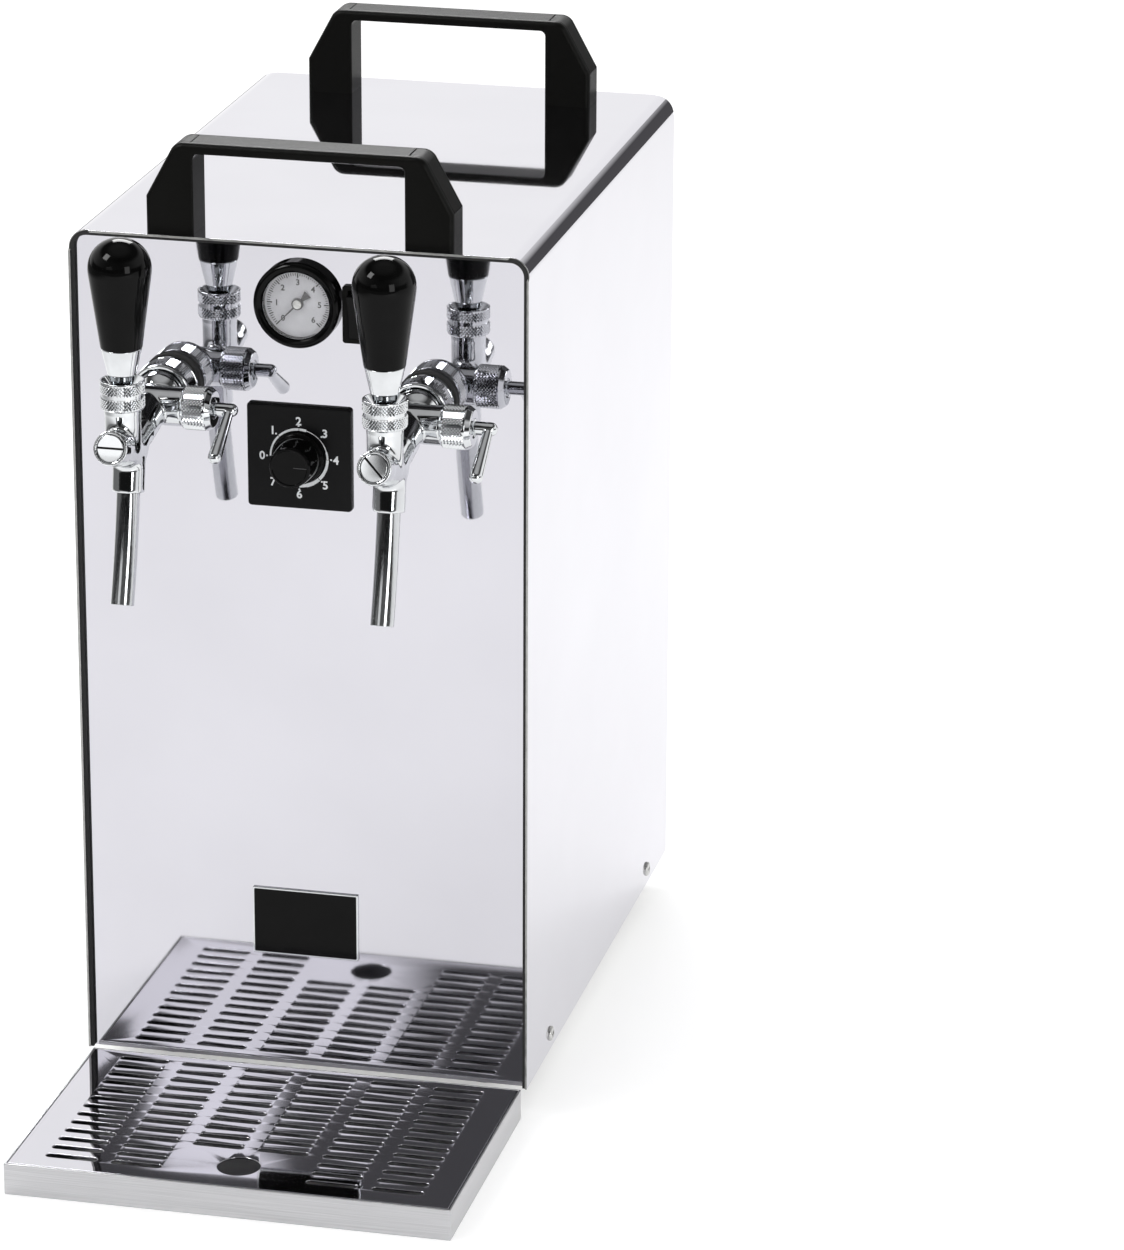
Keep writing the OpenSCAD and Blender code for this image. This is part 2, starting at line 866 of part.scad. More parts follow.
module thermostat_body() {
    color("dimgray") at_thermo() difference() {
        union() {
            translate([-thermo_body_w / 2, sheet_t, -thermo_body_h / 2])
                cube([thermo_body_w, thermo_body_t, thermo_body_h]);
            bar_y(thermo_bush_r, -thermo_plate_t, sheet_t + cut);
        }
        bar_y(thermo_shaft_d / 2 + running, -thermo_plate_t - cut, thermo_body_t / 2);
    }
}

module thermostat_shaft() {
    color("silver") at_thermo()
        bar_y(thermo_shaft_d / 2, knob_front + knob_bore_end + fit - panel_y, thermo_body_t / 2 - fit);
}

module thermostat_knob() {
    back = panel_y - thermo_plate_t - free;
    face_r = knob_face_d / 2;
    color("#101010") translate([0, 0, thermo_z]) difference() {
        union() {
            cone_y(face_r, face_r + knob_draft, knob_front, back - knob_skirt_t);
            bar_y(knob_skirt_d / 2, back - knob_skirt_t, back);
        }
        bar_y(thermo_shaft_d / 2 + running, knob_front + knob_bore_end, back + cut);
        translate([0, knob_front - cut, -knob_mark_w / 2])
            cube([knob_face_d, knob_mark_t + cut, knob_mark_w]);
    }
}

// Rocker switch

module at_switch() {
    translate([switch_x, panel_y, switch_z]) children();
}

module switch_housing() {
    inner_w = switch_w - 2 * switch_rim;
    inner_h = switch_h - 2 * switch_rim;
    color("#141414") at_switch() difference() {
        union() {
            upright(-switch_out, switch_out) round_square(switch_w, switch_h, switch_corner);
            upright(-cut, switch_back + cut) square([inner_w, inner_h], center = true);
        }
        upright(-switch_out - cut, switch_back + switch_out + cut - switch_floor)
            square([rocker_x + 2 * free, inner_h - switch_rim], center = true);
        translate([0, rocker_pivot, 0])
            bar_x(rocker_pin_r + running, -rocker_x / 2 - switch_rim, rocker_x / 2 + switch_rim);
    }
}

// Rocker with two faces in a shallow V, resting on its lower half
module switch_rocker() {
    end = rocker_crown + rocker_half * sin(rocker_tilt);
    rear = rocker_edge - rocker_crown;
    color("#0c0c0c") at_switch() translate([0, rocker_pivot, 0]) {
        rotate([rocker_tilt, 0, 0]) rotate([90, 0, 90])
            translate([0, 0, -rocker_x / 2]) linear_extrude(rocker_x)
                polygon([[-rocker_crown, 0], [-end, rocker_half], [rear, rocker_half],
                    [rocker_boss, rocker_boss], [rocker_boss, -rocker_boss],
                    [rear, -rocker_half], [-end, -rocker_half]]);
        bar_x(rocker_pin_r, -rocker_x / 2 - switch_rim + fit, rocker_x / 2 + switch_rim - fit);
    }
}

module badge_plate() {
    color("#101010") translate([0, 0, foot_h + badge_z])
        upright(panel_y - badge_t, badge_t) round_square(badge_w, badge_h, badge_corner);
}

// Taps: wall side

module tap_washers() {
    color("#111111") at_taps() difference() {
        bar_y(coupling_d / 2 + fit, -washer_t, 0);
        bar_y(shank_r + fit, -washer_t - cut, cut);
    }
}

module shank(side) {
    thread_r = coupling_d / 2 - coupling_wall - 2 * running;
    color("silver") at_tap(side) difference() {
        union() {
            bar_y(thread_r, -seal_out + fit, -washer_t - shank_flange_t);
            bar_y(coupling_d / 2 - shank_flange_in, -washer_t - shank_flange_t, -washer_t);
            bar_y(shank_r, -washer_t, shank_thread);
            bar_y(barb_r, shank_thread, shank_tail);
        }
        bar_y(cone_chamber_r, -seal_out - cut, cone_end);
        bar_y(fit_bore_r, 0, shank_tail + cut);
    }
}

module shank_left() {
    shank(-1);
}

module shank_right() {
    shank(1);
}

module shank_nuts() {
    color("goldenrod") at_taps() hex_nut_y(shank_nut_w, shank_nut_t, shank_r + running, sheet_t);
}

module coupling_nuts() {
    bore_r = coupling_d / 2 - coupling_wall;
    color("silver") at_taps() difference() {
        bar_y(coupling_d / 2, -coupling_out, -washer_t - shank_flange_t - fit);
        bar_y(bore_r, -coupling_out + coupling_lip, 0);
        bar_y(dome_r + fit, -coupling_out - cut, 0);
    }
}

// Taps: body

// Tail of the body: a flange held by the coupling nut, and the dome in front of it
module tap_tail() {
    flange_r = coupling_d / 2 - coupling_wall - fit;
    rotate([90, 0, 0]) rotate_extrude() {
        translate([0, seal_out]) square([flange_r, dome_out - seal_out]);
        translate([0, dome_out]) intersection() {
            circle(dome_r);
            square(dome_r);
        }
    }
}

module tap_body_outside() {
    tap_tail();
    at_comp() bar_x(knuckle_r, -knuckle_in, comp_nut_in);
    limb_bar(limb_top, limb_end, limb_r, limb_end_r);
    at_chamber() bar_y(chamber_d / 2, 0, chamber_len);
    translate([0, -neck_out, chamber_z]) cylinder(d = neck_d, h = pivot_z - chamber_z);
    at_socket() cylinder(d = socket_d, h = socket_len);
}

// Room for the lever's tail between its two limits
module tail_room() {
    rise = 4;
    function reach(drop, angle) = drop * tan(angle) + tail_r / cos(angle) + tip_room;
    translate([-tip_r - tip_room, -neck_out, pivot_z]) rotate([90, 0, 90])
        linear_extrude(2 * (tip_r + tip_room))
            polygon([[-reach(rise, lever_foam), -rise], [reach(rise, lever_open), -rise],
                [reach(tail_len, lever_open), -tail_len], [-reach(tail_len, lever_foam), -tail_len]]);
}

module tap_body(side) {
    color("lightgray") at_tap(side) difference() {
        tap_body_outside();
        limb_bar(limb_top, limb_end, limb_bore_r, limb_bore_r);
        bar_y(cone_chamber_r, comp_y - cone_end, cut - seal_out);
        at_comp() bar_x(comp_boss_bore, 0, comp_nut_in + cut);
        at_chamber() {
            bar_y(chamber_bore / 2, plug_t - cut, chamber_len - chamber_wall);
            bar_y(plug_d / 2 + running, -cut, plug_t);
        }
        translate([0, -neck_out, pivot_z]) sphere(d = ball_d + 2 * ball_room);
        tail_room();
        at_socket() {
            translate([0, 0, -cut]) cylinder(d = spout_d + 2 * spout_room, h = socket_grip + cut);
            cylinder(r = limb_bore_r, h = socket_len - socket_roof);
        }
    }
}

module tap_body_left() {
    tap_body(-1);
}

module tap_body_right() {
    tap_body(1);
}

module tap_collars() {
    seat_r = ball_d / 2 + ball_room;
    mouth_r = sqrt(seat_r * seat_r - collar_lip * collar_lip);
    cup_r = collar_d / 2 - collar_wall;
    foot_z = collar_top - collar_h;
    color("silver") at_taps() translate([0, -neck_out, 0]) difference() {
        translate([0, 0, foot_z]) cylinder(d = collar_d, h = collar_h);
        translate([0, 0, foot_z - cut]) cylinder(r = neck_d / 2 + running, h = collar_h - pivot_drop + cut);
        translate([0, 0, pivot_z]) sphere(seat_r);
        translate([0, 0, pivot_z + collar_lip])
            cylinder(r1 = mouth_r, r2 = cup_r, h = pivot_drop - collar_lip);
        translate([0, 0, collar_top - cut / 2]) cylinder(r = cup_r, h = cut);
        translate([0, 0, foot_z + (collar_h - collar_groove) / 2]) difference() {
            cylinder(d = collar_d + cut, h = collar_groove);
            translate([0, 0, -cut])
                cylinder(r = collar_d / 2 - collar_groove_t, h = collar_groove + 2 * cut);
        }
    }
}

module tap_plugs() {
    color("whitesmoke") for (i = [0, 1]) at_tap(2 * i - 1) at_chamber() difference() {
        bar_y(plug_d / 2, 0, plug_t - fit);
        rotate([0, plug_turns[i], 0]) translate([-plug_d, -cut, -plug_slot_w / 2])
            cube([2 * plug_d, plug_slot_t + cut, plug_slot_w]);
    }
}

// Taps: handle, lever and valve piston

module tap_lever(side) {
    color("lightgray") at_tap(side) translate([0, -neck_out, pivot_z]) {
        sphere(d = ball_d);
        cylinder(r = neck_stem_r, h = collar_lip + cut);
        translate([0, 0, collar_lip])
            cylinder(r1 = neck_stem_r, r2 = ferrule_d / 2, h = pivot_drop - collar_lip);
        translate([0, 0, pivot_drop])
            cylinder(d1 = ferrule_d, d2 = ferrule_top_d, h = grip_z - collar_top);
        translate([0, 0, -tail_len]) cylinder(r1 = tail_end_r, r2 = tail_r, h = tail_len);
        translate([0, 0, -tail_len]) sphere(tip_r);
    }
}

module tap_lever_left() {
    tap_lever(-1);
}

module tap_lever_right() {
    tap_lever(1);
}

module tap_grip(side) {
    crown_z = grip_len - grip_d / 2;
    slope = asin((grip_d - ferrule_top_d) / 2 / crown_z);
    color("#0b0b0c") at_tap(side) translate([0, -neck_out, grip_z]) rotate_extrude() {
        polygon([[0, 0], [ferrule_top_d / 2, 0],
            [grip_d / 2 * cos(slope), crown_z - grip_d / 2 * sin(slope)], [0, crown_z]]);
        translate([0, crown_z]) intersection() {
            circle(d = grip_d);
            translate([0, -grip_d / 2 * sin(slope)]) square(grip_d);
        }
    }
}

module tap_grip_left() {
    tap_grip(-1);
}

module tap_grip_right() {
    tap_grip(1);
}

// Piston: a slot across its top takes the tip of the lever's tail
module tap_piston(side) {
    half = tip_r + tip_room;
    color("whitesmoke") at_tap(side) at_chamber() translate([0, neck_axial, 0]) difference() {
        bar_y(piston_r, -piston_front, piston_rear);
        rotate([chamber_tilt, 0, 0]) translate([-half, -half, -piston_slot_t])
            cube([2 * half, 2 * half, chamber_bore + piston_slot_t]);
    }
}

module tap_piston_left() {
    tap_piston(-1);
}

module tap_piston_right() {
    tap_piston(1);
}

// Taps: compensator

module comp_nuts() {
    face = comp_nut_w - comp_shoulder;
    color("silver") at_taps() at_comp() difference() {
        union() {
            bar_x(comp_nut_d / 2, comp_nut_in, comp_nut_in + face);
            translate([comp_nut_in + face, 0, 0]) rotate([0, 90, 0])
                cylinder(r1 = comp_nut_d / 2, r2 = comp_nut_d / 2 - comp_shoulder_in, h = comp_shoulder);
        }
        bar_x(comp_axle_d / 2 + running, comp_nut_in - cut, comp_nut_in + comp_nut_w + cut);
    }
}

module comp_lever(side) {
    stop = comp_nut_in - fit;
    arm_x = axle_end - comp_axle_d / 2 - arm_in;
    pin_x = comp_core_r + comp_pin_gap;
    collar_x = cone_chamber_r + fit;
    color("lightgray") at_tap(side) at_comp() {
        bar_x(comp_collar_r, collar_x, stop);
        bar_x(comp_axle_d / 2, stop - cut, axle_end - comp_axle_d / 2);
        translate([axle_end - comp_axle_d / 2, 0, 0]) sphere(d = comp_axle_d);
        rotate([comp_phase, 0, 0]) translate([0, 0, comp_throw]) bar_x(comp_pin_r, pin_x, collar_x + cut);
        translate([arm_x, 0, 0]) rotate([180 - comp_lean, 0, 0]) {
            cylinder(r1 = arm_root_r, r2 = arm_end_r, h = comp_arm - arm_end_r);
            translate([0, 0, comp_arm - arm_end_r]) sphere(arm_end_r);
        }
    }
}

module comp_lever_left() {
    comp_lever(-1);
}

module comp_lever_right() {
    comp_lever(1);
}

// Cone in the shank that throttles the flow, moved by the eccentric pin
module flow_cone(side) {
    pin_y = comp_y - comp_throw * sin(comp_phase);
    groove = comp_pin_r + comp_pin_room;
    flange_r = cone_chamber_r - free;
    color("whitesmoke") at_tap(side) {
        bar_y(flange_r, pin_y - groove - comp_flange_t, pin_y - groove);
        bar_y(comp_core_r, pin_y - groove - cut, pin_y + groove + cut);
        bar_y(flange_r, pin_y + groove, pin_y + groove + comp_flange_t);
        cone_y(cone_neck_r, cone_r, pin_y + groove + comp_flange_t, -seal_out);
        cone_y(cone_r, cone_tip_r, -seal_out, 0);
    }
}

module flow_cone_left() {
    flow_cone(-1);
}

module flow_cone_right() {
    flow_cone(1);
}

// Spout: one long arc that starts in its socket and bends forward
module spout(side) {
    arc_r = spout_len / (spout_bend * PI / 180);
    grip_turn = asin((socket_grip - fit) / arc_r);
    color("lightsteelblue") at_tap(side) at_socket()
        translate([0, -arc_r, 0]) rotate([90, 0, 90]) rotate(-spout_bend)
            rotate_extrude(angle = spout_bend + grip_turn) translate([arc_r, 0]) difference() {
                circle(d = spout_d);
                circle(d = spout_d - 2 * spout_wall);
            }
}

module spout_left() {
    spout(-1);
}

module spout_right() {
    spout(1);
}

// Drip tray

module drip_tray() {
    color("lightgray") translate([-tray_w / 2, tray_front, 0]) difference() {
        cube([tray_w, tray_d, tray_h]);
        translate([tray_wall, tray_wall, tray_wall])
            cube([tray_w - 2 * tray_wall, tray_d - 2 * tray_wall, tray_h]);
    }
}

// Slots of the grille, and the finger hole that lifts it
module grille_cuts() {
    middle = [slot_cols / 2 - 1, slot_cols / 2];
    for (col = [0 : slot_cols - 1]) {
        rows = col == middle[0] || col == middle[1] ? min(short_rows, slot_rows) : slot_rows;
        for (row = [0 : rows - 1])
            translate([(col - (slot_cols - 1) / 2) * slot_dx, tray_rear - slot_back - row * slot_dy])
                slot(slot_len, slot_w);
    }
    translate([0, tray_front + finger_in]) circle(d = finger_d);
}

// Polished lid whose turned-down edges stand on the tray's floor
module drip_grille() {
    edge = tray_wall + tray_gap;
    w = tray_w - 2 * edge;
    d = tray_d - 2 * edge;
    color("gray") {
        translate([0, 0, tray_h - grille_t]) linear_extrude(grille_t) difference() {
            translate([-w / 2, tray_front + edge]) square([w, d]);
            grille_cuts();
        }
        translate([-w / 2, tray_front + edge, tray_wall]) difference() {
            cube([w, d, tray_h - tray_wall - grille_t]);
            translate([grille_t, grille_t, -cut]) cube([w - 2 * grille_t, d - 2 * grille_t, tray_h]);
        }
    }
}

// Machinery inside

module shelf() {
    half = inner_half - fit;
    depth = shelf_rear - shelf_front;
    color("silver") translate([-half, shelf_front, shelf_top - sheet_t]) {
        cube([2 * half, depth, sheet_t]);
        for (x = [0, 2 * half - sheet_t])
            translate([x, 0, -shelf_flange]) cube([sheet_t, depth, shelf_flange + sheet_t]);
    }
}

module cooling_block() {
    front = block_y - panel_y;
    rear = block_y + block_d - rear_panel_y;
    color("lightgray") difference() {
        translate([-block_w / 2, block_y, shelf_top]) cube([block_w, block_d, block_h]);
        at_taps() bar_y(line_bore_r, front - cut, front + block_port);
        at_inlets() bar_y(line_bore_r, rear - block_port, rear + cut);
    }
}

// Hose stub between two fittings, from y0 back to y1
module hose(y0, y1) {
    difference() {
        bar_y(line_r, y0, y1);
        bar_y(line_bore_r, y0 - cut, y1 + cut);
    }
}

module beer_lines() {
    color("white") {
        at_taps() hose(shank_tail + fit, block_y - panel_y - fit);
        at_inlets() hose(block_y + block_d + fit - rear_panel_y, -fit_tail - fit);
    }
}

module air_pump() {
    port_end = pump_d + pump_port_out;
    color("dimgray") translate([0, pump_y, shelf_top]) difference() {
        union() {
            translate([-pump_w / 2, 0, 0]) cube([pump_w, pump_d, pump_box_h]);
            translate([0, 0, pump_port_z - shelf_top]) {
                bar_y(pump_motor_r, pump_motor_in, pump_d - pump_motor_in);
                bar_y(line_r, pump_d - pump_motor_in, port_end);
            }
        }
        translate([0, 0, pump_port_z - shelf_top])
            bar_y(fit_bore_r, pump_d - 2 * pump_motor_in, port_end + cut);
    }
}

module air_line() {
    color("white") at_outlet() hose(pump_y + pump_d + pump_port_out + fit - rear_panel_y, -fit_tail - fit);
}

module compressor_pot() {
    r = pot_d / 2;
    color("#202020") translate([0, pot_y, floor_z + grommet_h]) {
        rotate_extrude() polygon([[0, 0], [r, 0], [r, pot_h - pot_crown],
            [r - pot_crown / 2, pot_h - pot_crown / 4], [r / 2, pot_h], [0, pot_h]]);
        translate([-r - pot_plate_x, -r - pot_plate_y, 0])
            cube([2 * (r + pot_plate_x), 2 * (r + pot_plate_y), pot_plate_t]);
    }
}

module compressor_grommets() {
    color("black") for (x = [-1, 1], y = [-1, 1])
        translate([x * pot_d / 2, pot_y + y * (pot_d / 2 - pot_plate_y), floor_z])
            cylinder(r = grommet_r, h = grommet_h);
}

module condenser() {
    fins = floor((cond_w - 2 * fin_side) / fin_pitch);
    color("silver") translate([-cond_w / 2, cond_y, floor_z]) difference() {
        cube([cond_w, cond_d, cond_h]);
        for (i = [0 : fins - 1]) translate([fin_side + i * fin_pitch, -cut, fin_end])
            cube([fin_gap, cond_d + 2 * cut, cond_h - 2 * fin_end]);
    }
}

module at_fan() {
    translate([0, fan_y, fan_z]) children();
}

module fan_frame() {
    color("#181818") at_fan() {
        difference() {
            translate([-fan_side / 2, 0, -fan_side / 2]) cube([fan_side, fan_t, fan_side]);
            bar_y(fan_ring_r, -cut, fan_t + cut);
        }
        for (turn = [45, 135]) rotate([0, turn, 0]) translate([-fan_ring_r - 1, 0, -fan_strut_w / 2])
            cube([2 * fan_ring_r + 2, fan_strut_t, fan_strut_w]);
        bar_y(fan_hub_r, 0, motor_t);
        bar_y(fan_shaft_r, motor_t, fan_shaft_end);
    }
}

module fan_blades() {
    y0 = motor_t + free;
    y1 = fan_t - free;
    blade_end = fan_ring_r - fan_tip_gap;
    color("#2a2a2a") at_fan() difference() {
        union() {
            bar_y(fan_hub_r, y0, y1);
            intersection() {
                bar_y(blade_end, y0, y1);
                for (i = [0 : fan_blades_n - 1]) rotate([0, i * 360 / fan_blades_n, 0])
                    translate([fan_hub_r - blade_t, (y0 + y1) / 2, 0]) rotate([blade_pitch, 0, 0])
                        translate([0, -blade_t / 2, -blade_w / 2]) cube([blade_end, blade_t, blade_w]);
            }
        }
        bar_y(fan_shaft_r + running, y0 - cut, fan_shaft_end + fit);
    }
}

// Rear connections: each passes through the rear panel at Y = 0

module push_fitting(bore) {
    outer = sheet_t + rim_d + rear_out;
    difference() {
        union() {
            bar_y(fit_neck_r, -cut, sheet_t + cut);
            bar_y(fit_flange_r, -fit_flange_t, 0);
            bar_y(fit_flange_r, sheet_t, sheet_t + fit_flange_t);
            bar_y(bore / 2 + fit_wall, sheet_t, outer);
            bar_y(barb_r, -fit_tail, 0);
        }
        bar_y(fit_bore_r, -fit_tail - cut, outer);
        bar_y(bore / 2, outer - hose_depth, outer + cut);
    }
}

module beer_inlets() {
    color("whitesmoke") at_inlets() push_fitting(hose_bore);
}

module air_outlet() {
    color("steelblue") at_outlet() push_fitting(hose_bore);
}

module cable_gland() {
    outer = sheet_t + rim_d + rear_out;
    color("#151515") at_gland() difference() {
        union() {
            bar_y(fit_neck_r, -gland_tail, sheet_t + cut);
            bar_y(fit_flange_r, sheet_t, outer);
        }
        bar_y(gland_bore / 2, -gland_tail - cut, outer + cut);
    }
}

casing_wrap();
front_panel();
rear_panel();
base_pan();
side_screws();
feet();
front_handle();
rear_handle();
handle_caps();
handle_screws();
gauge_case();
gauge_dial();
gauge_lens();
gauge_pointer();
gauge_ring_nut();
thermostat_plate();
thermostat_body();
thermostat_shaft();
thermostat_knob();
switch_housing();
switch_rocker();
badge_plate();
tap_washers();
shank_left();
shank_right();
shank_nuts();
coupling_nuts();
tap_body_left();
tap_body_right();
tap_collars();
tap_plugs();
tap_lever_left();
tap_lever_right();
tap_grip_left();
tap_grip_right();
tap_piston_left();
tap_piston_right();
comp_nuts();
comp_lever_left();
comp_lever_right();
flow_cone_left();
flow_cone_right();
spout_left();
spout_right();
drip_tray();
drip_grille();
shelf();
cooling_block();
beer_lines();
air_pump();
air_line();
compressor_pot();
compressor_grommets();
condenser();
fan_frame();
fan_blades();
beer_inlets();
air_outlet();
cable_gland();
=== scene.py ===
"""Looks of the table-top draft beer dispenser: polished steel casing, two chrome taps and a drip tray.

Shapes are drawn in millimetres in the part's own frame and scaled to metres when a piece is finished.
"""
import json
import math

import bmesh
import bpy
from mathutils import Matrix, Vector

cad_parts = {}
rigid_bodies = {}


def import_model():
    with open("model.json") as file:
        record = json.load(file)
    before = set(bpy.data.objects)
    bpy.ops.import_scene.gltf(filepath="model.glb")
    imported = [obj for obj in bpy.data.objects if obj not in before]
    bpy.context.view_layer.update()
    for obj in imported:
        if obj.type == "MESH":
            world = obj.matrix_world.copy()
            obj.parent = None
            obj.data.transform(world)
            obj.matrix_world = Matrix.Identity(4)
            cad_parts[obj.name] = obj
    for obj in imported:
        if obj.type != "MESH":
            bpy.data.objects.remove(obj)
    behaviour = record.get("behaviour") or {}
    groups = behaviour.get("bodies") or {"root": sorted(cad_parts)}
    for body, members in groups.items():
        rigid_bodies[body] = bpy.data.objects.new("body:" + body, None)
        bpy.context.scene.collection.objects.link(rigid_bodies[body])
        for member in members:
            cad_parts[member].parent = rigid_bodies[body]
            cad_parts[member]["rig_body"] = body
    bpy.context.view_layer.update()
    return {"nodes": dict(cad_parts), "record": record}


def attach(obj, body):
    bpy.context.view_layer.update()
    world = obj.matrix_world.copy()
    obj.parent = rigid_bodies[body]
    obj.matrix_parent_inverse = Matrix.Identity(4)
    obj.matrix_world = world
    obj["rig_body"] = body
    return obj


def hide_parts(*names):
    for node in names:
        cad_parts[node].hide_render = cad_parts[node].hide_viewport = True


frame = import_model()

MM = 0.001
NODES = frame["nodes"]
SLOTS = {part["node"]: part["material_slot"] for part in frame["record"]["subparts"]}


# Sizes and places, from the CAD frame where its nodes show them

def box(node):
    """Low and high corner of a CAD node, in millimetres"""
    spots = [vert.co / MM for vert in NODES[node].data.vertices]
    return [Vector([pick(spot[i] for spot in spots) for i in range(3)]) for pick in (min, max)]


def extent(node):
    low, high = box(node)
    return high - low


def centre(node):
    low, high = box(node)
    return (low + high) / 2


# Planes of the casing and its panel, the sheet and the bends at its top corners
(_, FRONT, FOOT), (HALF, REAR, TOP) = box("casing_wrap")
PANEL = box("front_panel")[0].y
SHEET, BEND = 1.2, 10

# Carrying handles: outside, the window for the hand, and the shoulder with its rounding
HANDLE_WIDTH, HANDLE_DEPTH, HANDLE_HEIGHT = extent("front_handle")
HANDLE_HALF = HANDLE_WIDTH / 2
WINDOW_HALF, WINDOW_TOP, WINDOW_CORNER = 55, 41.5, 3
SHOULDER = (64.5, HANDLE_HEIGHT, 4.16)

# Pocket for an end cap: its low end, the ledge under the flat top, its inner end and the rim beside it
POCKET_FOOT, POCKET_LEDGE, POCKET_END, POCKET_RIM = (75.8, 18.5), (62.3, 42.8), 56.3, 3.3

# Taps: the middle of each shank on the panel face, then places out from it and up from it
TAP_X, TAP_Z = centre("tap_grip_right").x, centre("tap_washers").z
COMP_OUT, COMP_DROP = 35.6, 1.5
NECK_OUT, COLLAR_TOP, PIVOT_Z, GRIP_Z = 84.5, 26, 18, 42.5
PLUG_OUT, PLUG_RISE, CHAMBER_TILT = 106.6, -3, 18
SOCKET_OUT, SOCKET_Z, SPOUT_LEAN = 78.5, -34, 10

# Bores of the tap castings: radius and both ends
PISTON_BORE, CONE_BORE = (6.55, -38.25, -7), (6.25, 10, 41.85)

# Heights of the things on the panel
GAUGE_Z, THERMO_Z, BADGE_Z = (centre(node).z for node in ("gauge_dial", "thermostat_plate", "badge_plate"))

# How far the gauge's dial, the thermostat's plate, printed ink and a knurl's diamonds stand out
DIAL, PLATE = (PANEL - box(node)[0].y for node in ("gauge_dial", "thermostat_plate"))
INK, DIAMOND = 0.04, 0.55

# How near a point has to be to a plane to count as on it
SLACK = 0.1


# Shapes

def turn(degrees, axis):
    return Matrix.Rotation(math.radians(degrees), 4, axis)


def at(x, y, z):
    return Matrix.Translation((x, y, z))


def on_circle(radius, degrees, height):
    """Upright place on a dial, at an angle from the right"""
    angle = math.radians(degrees)
    return at(radius * math.cos(angle), radius * math.sin(angle), height)


# A lathe shape stands upright; these lay its axis towards the front or to the right
FORWARD = turn(90, "X")
SIDEWAYS = turn(90, "Y")


def of_kind(items, kind):
    return [item for item in items if isinstance(item, kind)]


def everything(bm):
    return bm.verts[:] + bm.edges[:] + bm.faces[:]


def move(bm, place):
    bmesh.ops.transform(bm, matrix=place, verts=bm.verts)
    return bm


def tidy(bm):
    bmesh.ops.remove_doubles(bm, verts=bm.verts, dist=0.0005)
    bmesh.ops.recalc_face_normals(bm, faces=bm.faces)
    return bm


def rounded(bm, edges, width, segments, clamped=False):
    """Rounds the given edges over"""
    bmesh.ops.bevel(bm, geom=edges, offset=width, offset_type="OFFSET", affect="EDGES", segments=segments,
                    profile=0.5, material=-1, clamp_overlap=clamped)
    return bm


def soften(bm, width, segments=3, angle=30):
    """Rounds every edge that is sharper than the angle"""
    sharp = [edge for edge in bm.edges if edge.is_manifold and edge.calc_face_angle() > math.radians(angle)]
    return tidy(rounded(bm, sharp, width, segments, clamped=True))


def wire(bm, points, closed):
    """Line of edges through the points; a fourth number rounds that corner"""
    verts = [bm.verts.new(point[:3]) for point in points]
    for pair in zip(verts, verts[1:] + verts[:1] if closed else verts[1:]):
        bm.edges.new(pair)
    for vert, point in zip(verts, points):
        if len(point) > 3:
            bmesh.ops.bevel(bm, geom=[vert], offset=point[3], offset_type="OFFSET", affect="VERTICES",
                            segments=12 if point[3] > 4 else 5, profile=0.5, material=-1)
    return bm


def lathe(profile, steps=72, closed=False):
    """Turned shape round Z from points of radius, height and an optional corner rounding"""
    bm = wire(bmesh.new(), [(radius, 0, *rest) for radius, *rest in profile], closed)
    bmesh.ops.spin(bm, geom=bm.verts[:] + bm.edges[:], cent=(0, 0, 0), axis=(0, 0, 1), dvec=(0, 0, 0),
                   angle=2 * math.pi, steps=steps, use_merge=True)
    return tidy(bm)


def flat(points):
    """Flat face in X and Y; a third number rounds that corner"""
    bm = wire(bmesh.new(), [(x, y, 0, *rest) for x, y, *rest in points], True)
    bmesh.ops.contextual_create(bm, geom=bm.edges[:])
    return bm


def grow(bm, faces, step):
    """Draws faces out along a step and returns the moved ones"""
    made = bmesh.ops.extrude_face_region(bm, geom=faces)["geom"]
    bmesh.ops.translate(bm, vec=step, verts=of_kind(made, bmesh.types.BMVert))
    buried = [face for face in faces if any(len(edge.link_faces) > 2 for edge in face.edges)]
    bmesh.ops.delete(bm, geom=buried, context="FACES_ONLY")
    return of_kind(made, bmesh.types.BMFace)


def slab(points, thickness):
    """Plate of a flat outline, from height 0 up"""
    bm = flat(points)
    grow(bm, bm.faces[:], (0, 0, thickness))
    return tidy(bm)


def rectangle(width, height, corner):
    x, y = width / 2, height / 2
    return [(x, y, corner), (-x, y, corner), (-x, -y, corner), (x, -y, corner)]


def block(width, depth, height, place):
    """Box with its middle at a place"""
    bm = bmesh.new()
    bmesh.ops.create_cube(bm, size=1, matrix=place @ Matrix.Diagonal((width, depth, height, 1)))
    return bm


